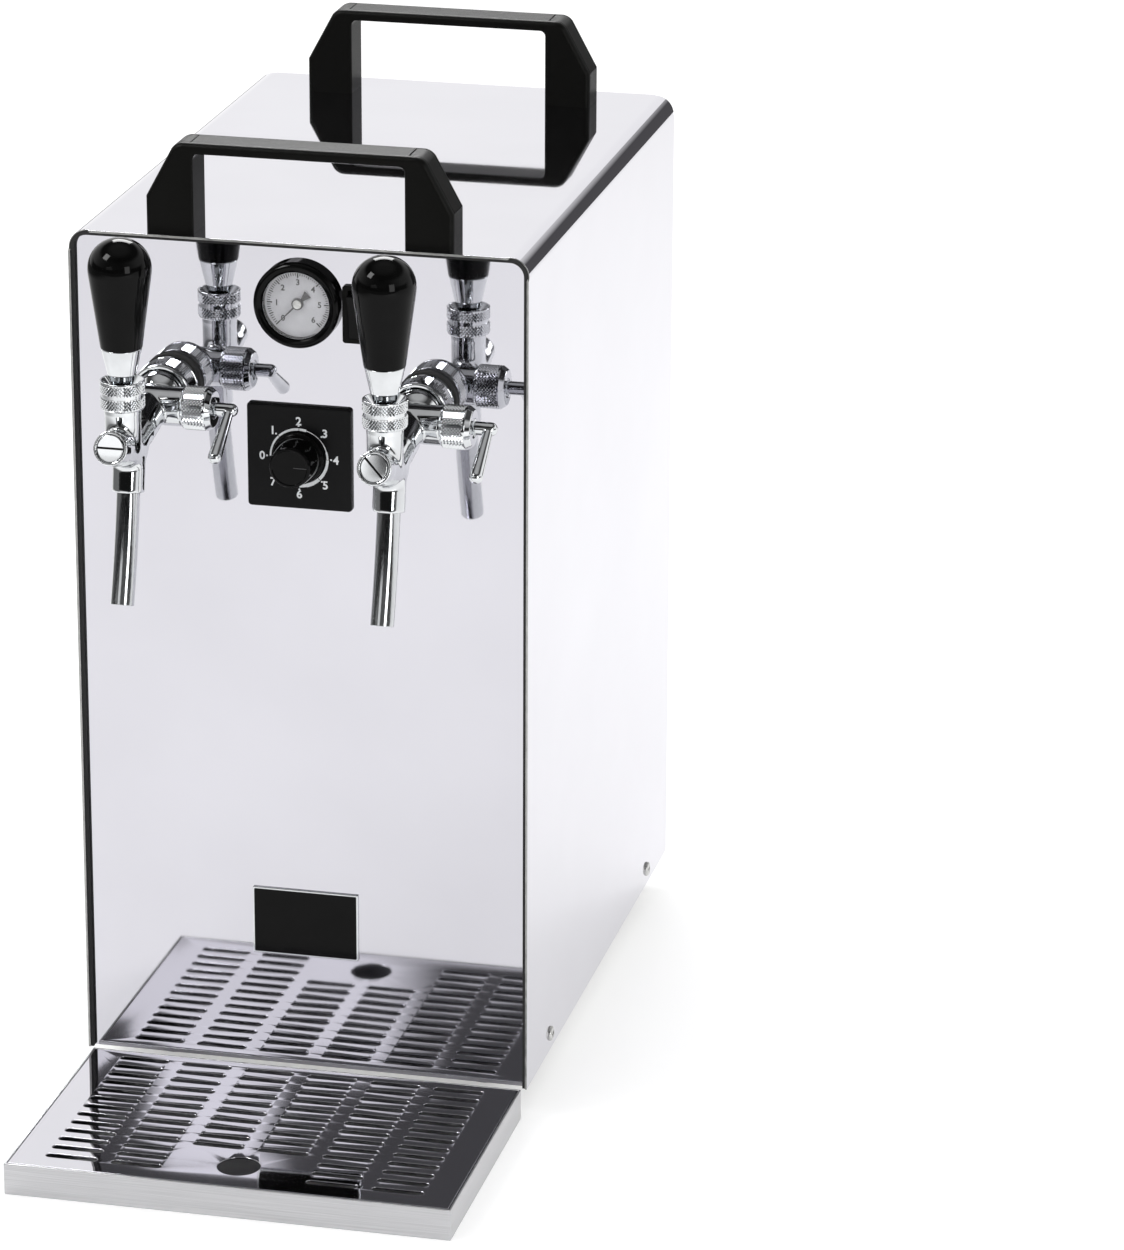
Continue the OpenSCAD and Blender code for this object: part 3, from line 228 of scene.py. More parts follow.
def knurl(radius, bore, foot, length, pitch):
    """Ring covered with small raised diamonds, from its foot up"""
    bm = bmesh.new()
    ground = radius - DIAMOND
    count, rows = round(2 * math.pi * radius / pitch), round(length / pitch)
    bmesh.ops.create_circle(bm, segments=count, radius=ground)
    edges = bm.edges[:]
    for _ in range(rows):
        made = bmesh.ops.extrude_edge_only(bm, edges=edges)["geom"]
        edges = of_kind(made, bmesh.types.BMEdge)
        bmesh.ops.translate(bm, vec=(0, 0, length / rows), verts=of_kind(made, bmesh.types.BMVert))
    bmesh.ops.recalc_face_normals(bm, faces=bm.faces)
    bm.faces.ensure_lookup_table()
    if bm.faces[0].normal.dot(bm.faces[0].calc_center_median()) < 0:
        bmesh.ops.reverse_faces(bm, faces=bm.faces)
    seams = [edge for edge in bm.edges if not edge.is_boundary]
    bmesh.ops.poke(bm, faces=bm.faces)
    bmesh.ops.dissolve_edges(bm, edges=seams, use_verts=False)
    bm.normal_update()
    bmesh.ops.poke(bm, faces=[face for face in bm.faces if len(face.verts) == 4], offset=DIAMOND)
    made = bmesh.ops.extrude_edge_only(bm, edges=[edge for edge in bm.edges if edge.is_boundary])["geom"]
    inward = bore / ground
    bmesh.ops.scale(bm, vec=(inward, inward, 1), verts=of_kind(made, bmesh.types.BMVert))
    bmesh.ops.bridge_loops(bm, edges=of_kind(made, bmesh.types.BMEdge))
    return move(tidy(bm), at(0, 0, foot))


def copied(node):
    """Merged copy of a CAD mesh, in millimetres"""
    bm = bmesh.new()
    bm.from_mesh(NODES[node].data)
    bmesh.ops.scale(bm, vec=(1 / MM,) * 3, verts=bm.verts)
    bmesh.ops.remove_doubles(bm, verts=bm.verts, dist=0.002)
    return bm


def in_whole_faces(node):
    """CAD copy with the triangles of each flat face joined"""
    bm = copied(node)
    bmesh.ops.dissolve_limit(bm, angle_limit=math.radians(1), verts=bm.verts, edges=bm.edges)
    return tidy(bm)


def refined(node, width, segments=2, angle=40):
    """CAD copy with its sharp edges rounded"""
    return soften(in_whole_faces(node), width, segments, angle)


def evaluated(obj):
    """Mesh of a helper object with its modifiers, after which the object is gone"""
    bpy.context.scene.collection.objects.link(obj)
    mesh = bpy.data.meshes.new_from_object(obj.evaluated_get(bpy.context.evaluated_depsgraph_get()))
    bm = bmesh.new()
    bm.from_mesh(mesh)
    data = obj.data
    bpy.data.objects.remove(obj)
    bpy.data.batch_remove([mesh, data])
    return bm


def reamed(bm, place, radius, low, high):
    """Moves what has run into a bore along Z back to the bore's wall or to its nearer end"""
    inward = place.inverted()
    for vert in bm.verts:
        spot = inward @ vert.co
        across = spot.xy.length
        if across < radius and low < spot.z < high:
            end = low if spot.z - low < high - spot.z else high
            if abs(spot.z - end) < radius - across:
                spot.z = end
            else:
                spot.xy *= radius / across
            vert.co = place @ spot
    return bm


def cast(node, voxel, rounds, blended=None):
    """CAD copy with its joins run together, as in a polished casting, most of all in the blended zone"""
    mesh = bpy.data.meshes.new("casting")
    bm = copied(node)
    bm.to_mesh(mesh)
    bm.free()
    obj = bpy.data.objects.new("casting", mesh)
    remesh = obj.modifiers.new("skin", "REMESH")
    remesh.mode, remesh.voxel_size = "VOXEL", voxel
    smooth = obj.modifiers.new("polish", "SMOOTH")
    smooth.factor, smooth.iterations = 0.5, rounds
    bm = evaluated(obj)
    passes = 90 if blended else 0
    for _ in range(passes):
        bmesh.ops.smooth_vert(bm, verts=[v for v in bm.verts if blended(v.co)], factor=0.5, use_axis_x=True,
                              use_axis_y=True, use_axis_z=True)
    return bm


def label(words, size, bold, place):
    """Flat printed figures, centred on a place"""
    curve = bpy.data.curves.new("figures", "FONT")
    curve.body, curve.size, curve.offset, curve.extrude = words, size, bold, INK / 2
    curve.resolution_u = 4
    bm = evaluated(bpy.data.objects.new("figures", curve))
    low = Vector([min(v.co[i] for v in bm.verts) for i in range(3)])
    high = Vector([max(v.co[i] for v in bm.verts) for i in range(3)])
    middle = (low + high) / 2
    bmesh.ops.translate(bm, vec=(-middle.x, -middle.y, 0), verts=bm.verts)
    return move(tidy(bm), place)


def joined(forms):
    """One shape that holds several"""
    whole = bmesh.new()
    for form in forms:
        part = bpy.data.meshes.new("form")
        form.to_mesh(part)
        form.free()
        whole.from_mesh(part)
        bpy.data.meshes.remove(part)
    return whole


def piece(name, forms, material, *nodes, on=None, angle=35, second=None):
    """Finished piece that stands for CAD nodes, or that is printed or fixed on one"""
    whole = joined(forms)
    bmesh.ops.scale(whole, vec=(MM,) * 3, verts=whole.verts)
    mesh = bpy.data.meshes.new(name)
    whole.to_mesh(mesh)
    whole.free()
    for layer in (material, second):
        if layer:
            mesh.materials.append(layer)
    mesh.shade_smooth()
    mesh.set_sharp_from_angle(angle=math.radians(angle))
    obj = bpy.data.objects.new(name, mesh)
    bpy.context.scene.collection.objects.link(obj)
    normals = obj.modifiers.new("even shading", "WEIGHTED_NORMAL")
    normals.keep_sharp = True
    host = nodes[0] if nodes else on
    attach(obj, NODES[host]["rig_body"])
    if nodes:
        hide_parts(*nodes)
    return obj


# Finishes

def rgb(code):
    """Screen colour as a linear one"""
    parts = [int(code[i:i + 2], 16) / 255 for i in (1, 3, 5)]
    return (*(c / 12.92 if c <= 0.04045 else ((c + 0.055) / 1.055) ** 2.4 for c in parts), 1.0)


WHITE = rgb("#FFFFFF")


def add(tree, kind, values=None, links=None, **settings):
    """Adds a node with its settings, its own socket values and the links into it"""
    node = tree.nodes.new("ShaderNode" + kind)
    for key, value in settings.items():
        setattr(node, key, value)
    for key, value in (values or {}).items():
        node.inputs[key].default_value = value
    for key, source in (links or {}).items():
        tree.links.new(source, node.inputs[key])
    return node


def empty_tree(name):
    material = bpy.data.materials.new(name)
    material.use_nodes = True
    material.node_tree.nodes.clear()
    return material, material.node_tree


def finish(name, dark, light, rough, grain, relief=0.0, **shader):
    """Finish whose tone and roughness vary with a pattern; grain is its size in mm along X, Y and Z"""
    # Most of the pattern's values lie between these two
    low, high = 0.35, 0.65
    material, tree = empty_tree(name)
    place = add(tree, "TexCoord").outputs["Object"]
    size = [1 / (MM * length) for length in grain]
    spread = add(tree, "Mapping", {"Scale": size}, {"Vector": place}).outputs["Vector"]
    pattern = add(tree, "TexNoise", {"Scale": 1.0, "Detail": 3.0}, {"Vector": spread}).outputs["Fac"]
    tone = add(tree, "ValToRGB", links={"Fac": pattern})
    for stop, colour, position in zip(tone.color_ramp.elements, (dark, light), (low, high)):
        stop.color, stop.position = rgb(colour), position
    limits = {"From Min": low, "From Max": high, "To Min": rough[0], "To Max": rough[1]}
    roughness = add(tree, "MapRange", limits, {"Value": pattern})
    links = {"Base Color": tone.outputs["Color"], "Roughness": roughness.outputs["Result"]}
    if relief:
        bump = add(tree, "Bump", {"Strength": 1.0, "Distance": relief * MM}, {"Height": pattern})
        links["Normal"] = bump.outputs["Normal"]
    surface = add(tree, "BsdfPrincipled", shader, links)
    add(tree, "OutputMaterial", links={"Surface": surface.outputs["BSDF"]})
    return material


METAL = {"Metallic": 1.0}
# Dark plastics that throw back little light
DULL = {"Specular IOR Level": 0.1}
# Mirror-polished stainless sheet: clear reflections, with a faint wide unevenness in the polish
mirror_steel = finish("mirror_polished_stainless", "#CAC9CF", "#CDCCD2", (0.02, 0.045), (90, 90, 90), **METAL)
# Brushed stainless: blurred reflections and grain lines that run level, 0.25 mm apart
brushed_steel = finish("brushed_stainless", "#B8B8BA", "#CACACC", (0.30, 0.40), (40, 40, 0.25), 0.002,
                       **METAL)
# Drawn stainless tube, polished along its length: long soft streaks
drawn_steel = finish("drawn_stainless_tube", "#BEC0C2", "#CACCCE", (0.08, 0.16), (0.6, 0.6, 30), **METAL)
# Bright chrome plate on cast and turned brass: sharp bright reflections
chrome = finish("bright_chrome_plate", "#CED0D2", "#D8DADC", (0.03, 0.06), (12, 12, 12), **METAL)
# Sheared edge of the casing sheet, left dull by the polishing
sheared_edge = finish("sheared_sheet_edge", "#9A9A98", "#B4B4B2", (0.3, 0.45), (6, 6, 6), **METAL)
# Inside of the drip tray: a little rougher, and darker as painted shade of the enclosed pan
tray_inside_painted_shade = finish("dull_tray_inside", "#8C8C8C", "#A0A0A0", (0.3, 0.45), (14, 14, 14), **METAL)
# Floor of the plug slots: near black, painted shade of the narrow slot
slot_floor_painted_shade = finish("dark_slot_inside", "#2A2A2A", "#3A3A3A", (0.4, 0.6), (2, 2, 2), **METAL)
# Zinc-plated steel: pale, with a fine satin bloom
plated_steel = finish("zinc_plated_steel", "#C4C4C2", "#D8D8D6", (0.3, 0.45), (2, 2, 2), **METAL)
# Turned brass: warm yellow with fine turning lines
brass = finish("turned_brass", "#B58F4E", "#C9A562", (0.2, 0.35), (3, 3, 0.3), **METAL)
# Cast and finned aluminium: grey and dull
aluminium = finish("raw_aluminium", "#B4B5B8", "#C6C7CA", (0.35, 0.5), (1.5, 1.5, 1.5), **METAL)
# Moulded black plastic with a fine spark-eroded grain of 0.35 mm
black_plastic = finish("grained_black_plastic", "#080807", "#0D0D0B", (0.34, 0.46), (0.35, 0.35, 0.35),
                       0.012, **DULL)
# Glossy black phenolic: deep black with small sharp highlights
black_gloss = finish("glossy_black_phenolic", "#060606", "#090909", (0.05, 0.09), (8, 8, 8), **DULL)
# Satin black plastic: even and soft in its shine
satin_black = finish("satin_black_plastic", "#0D0D0E", "#0E0E0F", (0.24, 0.27), (1.2, 1.2, 1.2), **DULL)
# Black rubber: matt and a little uneven
rubber = finish("black_rubber", "#151515", "#222222", (0.7, 0.85), (0.8, 0.8, 0.8), 0.02)
# White enamelled dial, its tone lowered to grey as painted shade of the lens over it: smooth, with a soft
# shine
dial_white = finish("white_dial_painted_lens_shade", "#BDBDC2", "#C6C6CB", (0.35, 0.45), (6, 6, 6))
# Printing inks: flat and even
black_ink = finish("black_printing_ink", "#141414", "#1C1C1C", (0.4, 0.5), (1, 1, 1))
white_ink = finish("white_printing_ink", "#D9DCDE", "#E6E8EA", (0.4, 0.5), (1, 1, 1))
# Dark grey paint of the gauge's pointer: half matt
pointer_grey = finish("dark_grey_paint", "#3A3A3C", "#444446", (0.35, 0.45), (2, 2, 2))
# Moulded acetal of the drink and air fittings: smooth and slightly waxy
white_plastic = finish("white_acetal", "#D8D7D2", "#E2E1DC", (0.35, 0.45), (4, 4, 4))
blue_plastic = finish("blue_acetal", "#24508C", "#2B5C9E", (0.35, 0.45), (4, 4, 4))
# Black enamel of the compressor and pump: half gloss
dark_paint = finish("black_enamel", "#1A1A1B", "#242425", (0.25, 0.35), (5, 5, 5))
# Clear flat lens with faint wipe marks
clear_glass = finish("clear_lens", "#FDFDFD", "#FFFFFF", (0.0, 0.015), (9, 9, 9),
                     **{"Transmission Weight": 1.0, "IOR": 1.45})


# Casing

def casing():
    """Steel sheet bent over from side to side; at the bends its front and rear edges are notched back"""
    strip, notch, burr = 1.5, 1.6, 0.25
    upright, level = TOP - FOOT - BEND - strip, 2 * (HALF - BEND - strip)
    section = ((0, FRONT), (0, REAR), (SHEET, REAR), (SHEET, FRONT))
    bm = move(flat([(HALF - inset, y, burr) for inset, y in section]), at(0, 0, FOOT))
    faces = bm.faces[:]
    for step in (upright, strip):
        faces = grow(bm, faces, (0, 0, step))
    for side, steps in ((1, (strip, level, strip)), (-1, (strip, upright))):
        made = bmesh.ops.spin(bm, geom=faces, cent=(side * (HALF - BEND), 0, TOP - BEND), axis=(0, 1, 0),
                              dvec=(0, 0, 0), angle=-math.pi / 2, steps=16, use_merge=False)["geom_last"]
        faces = of_kind(made, bmesh.types.BMFace)
        for step in steps:
            faces = grow(bm, faces, (-step, 0, 0) if side > 0 else (0, 0, -step))
    tidy(bm)
    buried = [face for face in bm.faces if all(len(edge.link_faces) > 2 for edge in face.edges)]
    bmesh.ops.delete(bm, geom=buried, context="FACES_ONLY")
    tidy(bm)
    for end, shift in ((FRONT, notch), (REAR, -notch)):
        bent = [v for v in bm.verts if abs(v.co.y - end) < burr + SLACK
                and abs(v.co.x) > HALF - BEND - SLACK and v.co.z > TOP - BEND - SLACK]
        bmesh.ops.translate(bm, vec=(0, shift, 0), verts=bent)
    for face in bm.faces:
        face.material_index = int(abs(face.normal.y) > 0.5)
    return bm


def edge_seals():
    """Black strips in the joints between the sheet and the two panels: painted shade of the gaps there"""
    recess, depth, outside, inside = 1.0, 2.6, 0.5, 2.7

    def arch(inset):
        side, top, corner = HALF - inset, TOP - inset, BEND - inset
        return [(-side, FOOT), (-side, top, corner), (side, top, corner), (side, FOOT)]

    return [move(slab(arch(inside) + arch(outside)[::-1], depth), at(0, rear_face, 0) @ FORWARD)
            for rear_face in (FRONT + recess + depth, REAR - recess)]


def handle_body():
    """Carrying handle seen from the front: half its depth with the pockets for the end caps, then mirrored"""
    half_depth, outer_rounding, window_rounding, flush = HANDLE_DEPTH / 2, 2.6, 1.0, 0.01
    pocket = [(HANDLE_HALF, POCKET_FOOT[1]), POCKET_FOOT, POCKET_LEDGE, (POCKET_END, POCKET_LEDGE[1]),
              (POCKET_END, HANDLE_HEIGHT)]
    right = [(WINDOW_HALF, 0), (HANDLE_HALF, 0), *pocket]
    left = [(-x, z) for x, z in reversed(right)]
    window = [(x, WINDOW_TOP, WINDOW_CORNER) for x in (-WINDOW_HALF, WINDOW_HALF)]
    rim = [*pocket, SHOULDER]
    bm = tidy(joined([flat(right + left + window), flat(rim), flat([(-x, *rest) for x, *rest in rim])]))
    faces = grow(bm, bm.faces[:], (0, 0, POCKET_RIM))
    between = [face for face in faces if abs(face.calc_center_median().x) < WINDOW_HALF]
    middle = grow(bm, between, (0, 0, half_depth - POCKET_RIM))
    bmesh.ops.delete(bm, geom=middle, context="FACES_ONLY")
    tidy(bm)

    def in_front(item):
        return all(v.co.z < flush for v in item.verts)

    def round_window(edge):
        return all(abs(v.co.x) < WINDOW_HALF + SLACK and v.co.y < WINDOW_TOP + SLACK for v in edge.verts)

    bmesh.ops.dissolve_faces(bm, faces=[face for face in bm.faces if in_front(face)])
    tidy(bm)
    for at_window, width in ((False, outer_rounding), (True, window_rounding)):
        edges = [edge for edge in bm.edges if in_front(edge) and any(v.co.y > flush for v in edge.verts)
                 and edge.calc_face_angle() > 0.5 and round_window(edge) == at_window]
        rounded(bm, edges, width, 5)
    move(bm, at(0, 0, -half_depth))
    bmesh.ops.mirror(bm, geom=everything(bm), matrix=Matrix.Identity(4), merge_dist=0.001, axis="Z")
    return move(tidy(bm), FORWARD @ at(0, 0, half_depth))


def handle_cap(side):
    """Cover strip that snaps in over the screws, from the flat top down the shoulder"""
    play, end_play, rounding = 0.2, 0.5, 0.5
    foot, ledge = [(x + play, z + play) for x, z in (POCKET_FOOT, POCKET_LEDGE)]
    end = POCKET_END + end_play
    outline = [(HANDLE_HALF, foot[1]), SHOULDER, (end, HANDLE_HEIGHT), (end, ledge[1]), ledge, foot]
    rim = POCKET_RIM + play
    bm = slab([(side * x, *rest) for x, *rest in outline], HANDLE_DEPTH - 2 * rim)
    return move(soften(bm, rounding), FORWARD @ at(0, 0, rim))


def side_screws():
    """Pan-head screws, rounded over at the rim"""
    ends, height = (FRONT + 54, REAR - 54), FOOT + 9.3
    head, rise, rounding = 4, 1.5, 1.2
    bm = in_whole_faces("side_screws")

    def on_rim(vert):
        reach = min(math.hypot(vert.co.y - end, vert.co.z - height) for end in ends)
        return reach > head - SLACK and abs(vert.co.x) > HALF + rise - SLACK

    rim = [edge for edge in bm.edges if all(on_rim(vert) for vert in edge.verts)]
    return tidy(rounded(bm, rim, rounding, 5))


# Places of the handles' rear faces
HANDLES = {word: at(0, box(word + "_handle")[1].y, TOP) for word in ("front", "rear")}

piece("casing_sheet", [casing()], mirror_steel, "casing_wrap", angle=25, second=sheared_edge)
# Black strips in the panel joints, as painted shade
piece("panel_edge_seals", edge_seals(), rubber, on="feet")
for word, place in HANDLES.items():
    piece(word + "_carrying_handle", [move(handle_body(), place)], black_plastic, word + "_handle")
piece("handle_end_caps", [move(handle_cap(side), place) for place in HANDLES.values() for side in (-1, 1)],
      black_plastic, "handle_caps")
piece("casing_side_screws", [side_screws()], plated_steel, "side_screws")
piece("rubber_feet", [refined("feet", 1.0)], rubber, "feet")


# Pressure gauge

GAUGE = at(0, PANEL, GAUGE_Z) @ FORWARD


def dial_print():
    """Scale of 61 lines over three quarters of a turn, numbered 0 to 6"""
    start, step, lines_end, numbers, surface = 225, 4.5, 16.3, 11.2, DIAL + INK / 2
    forms = []
    for line in range(61):
        length, width = (2.8, 0.7) if line % 10 == 0 else (2.3, 0.55) if line % 5 == 0 else (1.8, 0.42)
        place = turn(start - step * line, "Z") @ at(lines_end - length / 2, 0, surface)
        forms.append(block(length, width, INK, place))
    for number in range(7):
        place = on_circle(numbers, start - 10 * step * number, surface)
        forms.append(label(str(number), size=4.2, bold=0.12, place=place))
    return [move(form, GAUGE) for form in forms]


bezel = lathe([(0, -22.2), (17.5, -22.2), (17.5, 5.0), (18.3, 6.3, 0.4), (20.6, 7.0, 0.8), (22.5, 5.4, 1.2),
               (22.5, 0), (19.8, 0), (19.8, -24), (5, -24), (5, -36), (1.5, -36), (1.5, -24.2),
               (0, -24.2)], 96)
dial = lathe([(0.86, DIAL), (17.4, DIAL), (17.4, 0.2), (6, 0.2), (6, -22.1), (0.86, -22.1)], 96, True)
lens = lathe([(0, 4.6), (17.4, 4.6), (17.4, 5.8, 0.3), (0, 5.8)], 96)
needle = slab([(0.55, 0), (0.18, 15.5), (-0.18, 15.5), (-0.55, 0), (-0.7, -3.2), (-2.2, -7.6), (2.2, -7.6),
               (0.7, -3.2)], 0.5)
hub = lathe([(0, -12), (0.8, -12), (0.8, 1.35), (3.0, 1.35), (3.0, 2.9, 0.3), (0, 2.9)], 48)
hub_cap = lathe([(0, 2.9), (2.3, 2.9), (2.3, 3.5, 0.4), (0, 3.6)], 40)

piece("gauge_bezel", [move(bezel, GAUGE)], black_gloss, "gauge_case")
piece("gauge_face", [move(dial, GAUGE)], dial_white, "gauge_dial")
piece("gauge_scale", dial_print(), black_ink, on="gauge_dial")
piece("gauge_needle", [move(needle, GAUGE @ turn(135, "Z") @ at(0, 0, 1.8)), move(hub, GAUGE)],
      pointer_grey, "gauge_pointer")
piece("gauge_needle_cap", [move(hub_cap, GAUGE)], plated_steel, on="gauge_pointer")
window = piece("gauge_window", [move(lens, GAUGE)], clear_glass, "gauge_lens")
window.visible_shadow = False


# Thermostat

THERMO = at(0, PANEL, THERMO_Z) @ FORWARD


def thermostat_face():
    """Square plate with a sloped edge"""
    side, corner, slope = extent("thermostat_plate").x, 2, 1.3
    bm = slab(rectangle(side, side, corner), PLATE)
    rim = [edge for edge in bm.edges if all(v.co.z > PLATE - SLACK for v in edge.verts)]
    return rounded(bm, rim, slope, 2)


def thermostat_print():
    """Numbers 0 to 7 clockwise from the left, each with a dot, round a broken band that swells twice"""
    start, numbers, dots, band, surface = 180, 19.4, 16.9, 15.0, PLATE + INK / 2
    step, gap = 15, 1.2
    widths = (0.9, 0.95, 1.0, 1.05, 1.15, 1.25, 1.3, 0.4, 0.3, 0.3, 0.5, 1.0, 1.4, 1.5, 1.6, 1.8, 2.0, 1.6)
    forms = []
    for number in range(8):
        angle = start - 45 * number
        forms.append(label(str(number), size=6.0, bold=0.16, place=on_circle(numbers, angle, surface)))
        dot = bmesh.new()
        bmesh.ops.create_cone(dot, cap_ends=True, segments=16, radius1=0.5, radius2=0.5, depth=INK)
        forms.append(move(dot, on_circle(dots, angle, surface)))
    for count, width in enumerate(widths):
        bare = gap if count and count % 3 == 0 else 0
        bm = bmesh.new()
        bm.edges.new([bm.verts.new((band + side * width / 2, 0, 0)) for side in (-1, 1)])
        bmesh.ops.spin(bm, geom=bm.verts[:] + bm.edges[:], cent=(0, 0, 0), axis=(0, 0, 1), dvec=(0, 0, 0),
                       angle=-math.radians(step - bare), steps=5, use_merge=False)
        grow(bm, bm.faces[:], (0, 0, INK))
        forms.append(move(tidy(bm), turn(start - step * count - bare, "Z") @ at(0, 0, PLATE)))
    return [move(form, THERMO) for form in forms]


knob = lathe([(0, 17.2), (3.05, 17.2), (3.05, 3.3), (13.5, 3.3), (13.5, 6.0, 0.8), (12.1, 6.6), (10.7, 20.4),
              (10.5, 21.3, 0.7), (9.4, 21.3), (8.9, 20.9), (0, 20.9)], 120)
knob_line = block(6.8, 0.35, 0.06, at(5.4, 0, 20.92))

piece("thermostat_face_plate", [move(thermostat_face(), THERMO)], satin_black, "thermostat_plate")
piece("thermostat_numbers", thermostat_print(), white_ink, on="thermostat_plate")
piece("thermostat_turning_knob", [move(knob, THERMO)], black_gloss, "thermostat_knob")
piece("thermostat_knob_line", [move(knob_line, THERMO)], pointer_grey, on="thermostat_knob")


# Switch and badge

piece("switch_frame", [refined("switch_housing", 0.4)], black_plastic, "switch_housing")
piece("switch_key", [refined("switch_rocker", 0.6, 3)], black_gloss, "switch_rocker")

BADGE = at(0, PANEL, BADGE_Z) @ FORWARD
BADGE_WIDTH, _, BADGE_HEIGHT = extent("badge_plate")
BRIGHT_EDGE = 0.9
badge_edge = soften(slab(rectangle(BADGE_WIDTH, BADGE_HEIGHT, 0.6), 1.3), 0.3)
badge_face = slab(rectangle(BADGE_WIDTH - 2 * BRIGHT_EDGE, BADGE_HEIGHT - 2 * BRIGHT_EDGE, 0.5), 0.4)
piece("badge_bright_edge", [move(badge_edge, BADGE)], chrome, "badge_plate")
piece("badge_dark_face", [move(badge_face, BADGE @ at(0, 0, 1.2))], black_gloss, on="badge_plate")


# Taps

TAPS = {side: at(side * TAP_X, PANEL, TAP_Z) for side in (-1, 1)}
CHAMBER = at(0, -PLUG_OUT, PLUG_RISE) @ turn(-CHAMBER_TILT, "X")
COMP = at(0, -COMP_OUT, -COMP_DROP)
COLLAR = at(0, -NECK_OUT, 0)
PIVOT = at(0, -NECK_OUT, PIVOT_Z)


def at_both(make):
    """The same forms on both taps"""
    return [move(form, place) for place in TAPS.values() for form in make()]


def washer():
    return [move(lathe([(11.3, 0), (15.8, 0), (15.8, 3.5, 0.5), (11.3, 3.5)], 64, True), FORWARD)]


def coupling_nut():
    """Knurled ring with a plain lip at the rear and a polished bead in front"""
    ring = lathe([(14.4, 6.2), (15.2, 6.2, 0.3), (15.2, 7.4), (14.9, 7.6), (14.9, 19.2), (14.7, 19.4),
                  (14.7, 19.9), (15.4, 20.1, 0.3), (15.4, 22.7, 1.0), (13.3, 22.7, 0.3), (13.3, 20.5),
                  (14.4, 20.5)], 96, True)
    band = knurl(radius=15.6, bore=14.6, foot=7.6, length=11.6, pitch=1.8)
    return [move(form, FORWARD) for form in (ring, band)]


def collar():
    """Two knurled bands with a groove between them, and a cup that holds the lever's ball"""
    height = 14.6
    foot = COLLAR_TOP - height
    ring = lathe([(9.3, foot), (10.6, foot, 0.4), (10.9, foot + 0.7), (10.5, foot + 0.8), (10.5, foot + 8.1),
                  (10.5, COLLAR_TOP - 0.9), (11.2, COLLAR_TOP - 0.8), (11.2, COLLAR_TOP, 0.4),
                  (10.35, COLLAR_TOP), (10.3, COLLAR_TOP - 0.3), (5.7, PIVOT_Z + 2.3), (6.16, PIVOT_Z),
                  (9.3, PIVOT_Z)], 96, True)
    bands = [knurl(radius=11.35, bore=10.3, foot=foot + up, length=length, pitch=1.75)
             for up, length in ((0.7, 5.8), (8.1, 5.6))]
    return [move(form, COLLAR) for form in (ring, *bands)]


def plug(slot_turn):
    """Round plug with a screwdriver slot across its face"""
    half_slot, slot_depth = 0.55, 1.4
    bm = lathe([(0, -6.6), (6.75, -6.6), (6.75, 0, 0.45), (0, 0)], 64)
    for y in (half_slot, -half_slot):
        bmesh.ops.bisect_plane(bm, geom=everything(bm), dist=0.0001, plane_co=(0, y, 0), plane_no=(0, 1, 0))
    floor = [f for f in bm.faces if f.normal.z > 0.5 and abs(f.calc_center_median().y) < half_slot]
    # The slot's floor takes the second finish, its painted shade
    for face in grow(bm, floor, (0, 0, -slot_depth)):
        face.material_index = 1
    return move(tidy(bm), CHAMBER @ turn(slot_turn, "Y") @ FORWARD)


def comp_nut():
    """Knurled nut with a sloped polished shoulder"""
    ring = lathe([(3.56, 17.4), (10.7, 17.4, 0.3), (10.9, 17.9), (10.5, 18), (10.5, 29.5), (11.2, 29.6),
                  (11.2, 30.0, 0.3), (9.3, 32.8, 0.5), (5.2, 32.8, 0.3), (4.7, 32.2), (3.56, 32.2)], 80, True)
    band = knurl(radius=11.35, bore=10.3, foot=17.9, length=11.6, pitch=1.75)
    return [move(form, COMP @ SIDEWAYS) for form in (ring, band)]


def lever():
    """Ball with a tail below it and the flared ferrule above it"""
    return lathe([(0, -30.68), (1.7, -30.0, 0.5), (2.5, -28.2, 1.2), (1.6, -26.2, 0.4), (2.2, -5.6),
                  (4.2, -4.28, 0.8), (5.6, -2.2, 1.2), (6, 0, 1.2), (5.5, 2.4, 1), (4.6, 3.9, 0.3),
                  (6.5, 8, 0.6), (10.2, 24.3, 0.3), (9.8, 24.5), (0, 24.5)], 80)


def grip():
    """Pear-shaped grip that swells up to a round crown"""
    bm = lathe([(0, 0), (10.4, 0, 0.5), (18.2, 55.5, 18.15), (0, 55.5)], 96)
    return move(bm, at(0, 0, GRIP_Z - PIVOT_Z))


def spout():
    """Tube that starts in its socket and bends forward in one long arc"""
    outside, inside, arc, bend, held = 5.9, 4.9, 362.9, 9, 7.8
    start = held / arc
    bm = bmesh.new()
    for radius in (outside, inside):
        bmesh.ops.create_circle(bm, segments=56, radius=radius)
    bmesh.ops.bridge_loops(bm, edges=bm.edges[:])
    bmesh.ops.rotate(bm, cent=(0, -arc, 0), matrix=Matrix.Rotation(start, 3, "X"), verts=bm.verts)
    bmesh.ops.spin(bm, geom=bm.faces[:], cent=(0, -arc, 0), axis=(1, 0, 0), dvec=(0, 0, 0),
                   angle=-(math.radians(bend) + start), steps=24, use_merge=False)
    return move(soften(tidy(bm), 0.3), at(0, -SOCKET_OUT, SOCKET_Z) @ turn(-SPOUT_LEAN, "X"))


def blended_zone(spot):
    """Where a tap's chamber, neck and spout socket meet, out from the panel and up from the shank"""
    return 62 < PANEL - spot.y < 99 and -22 < spot.z - TAP_Z < 9


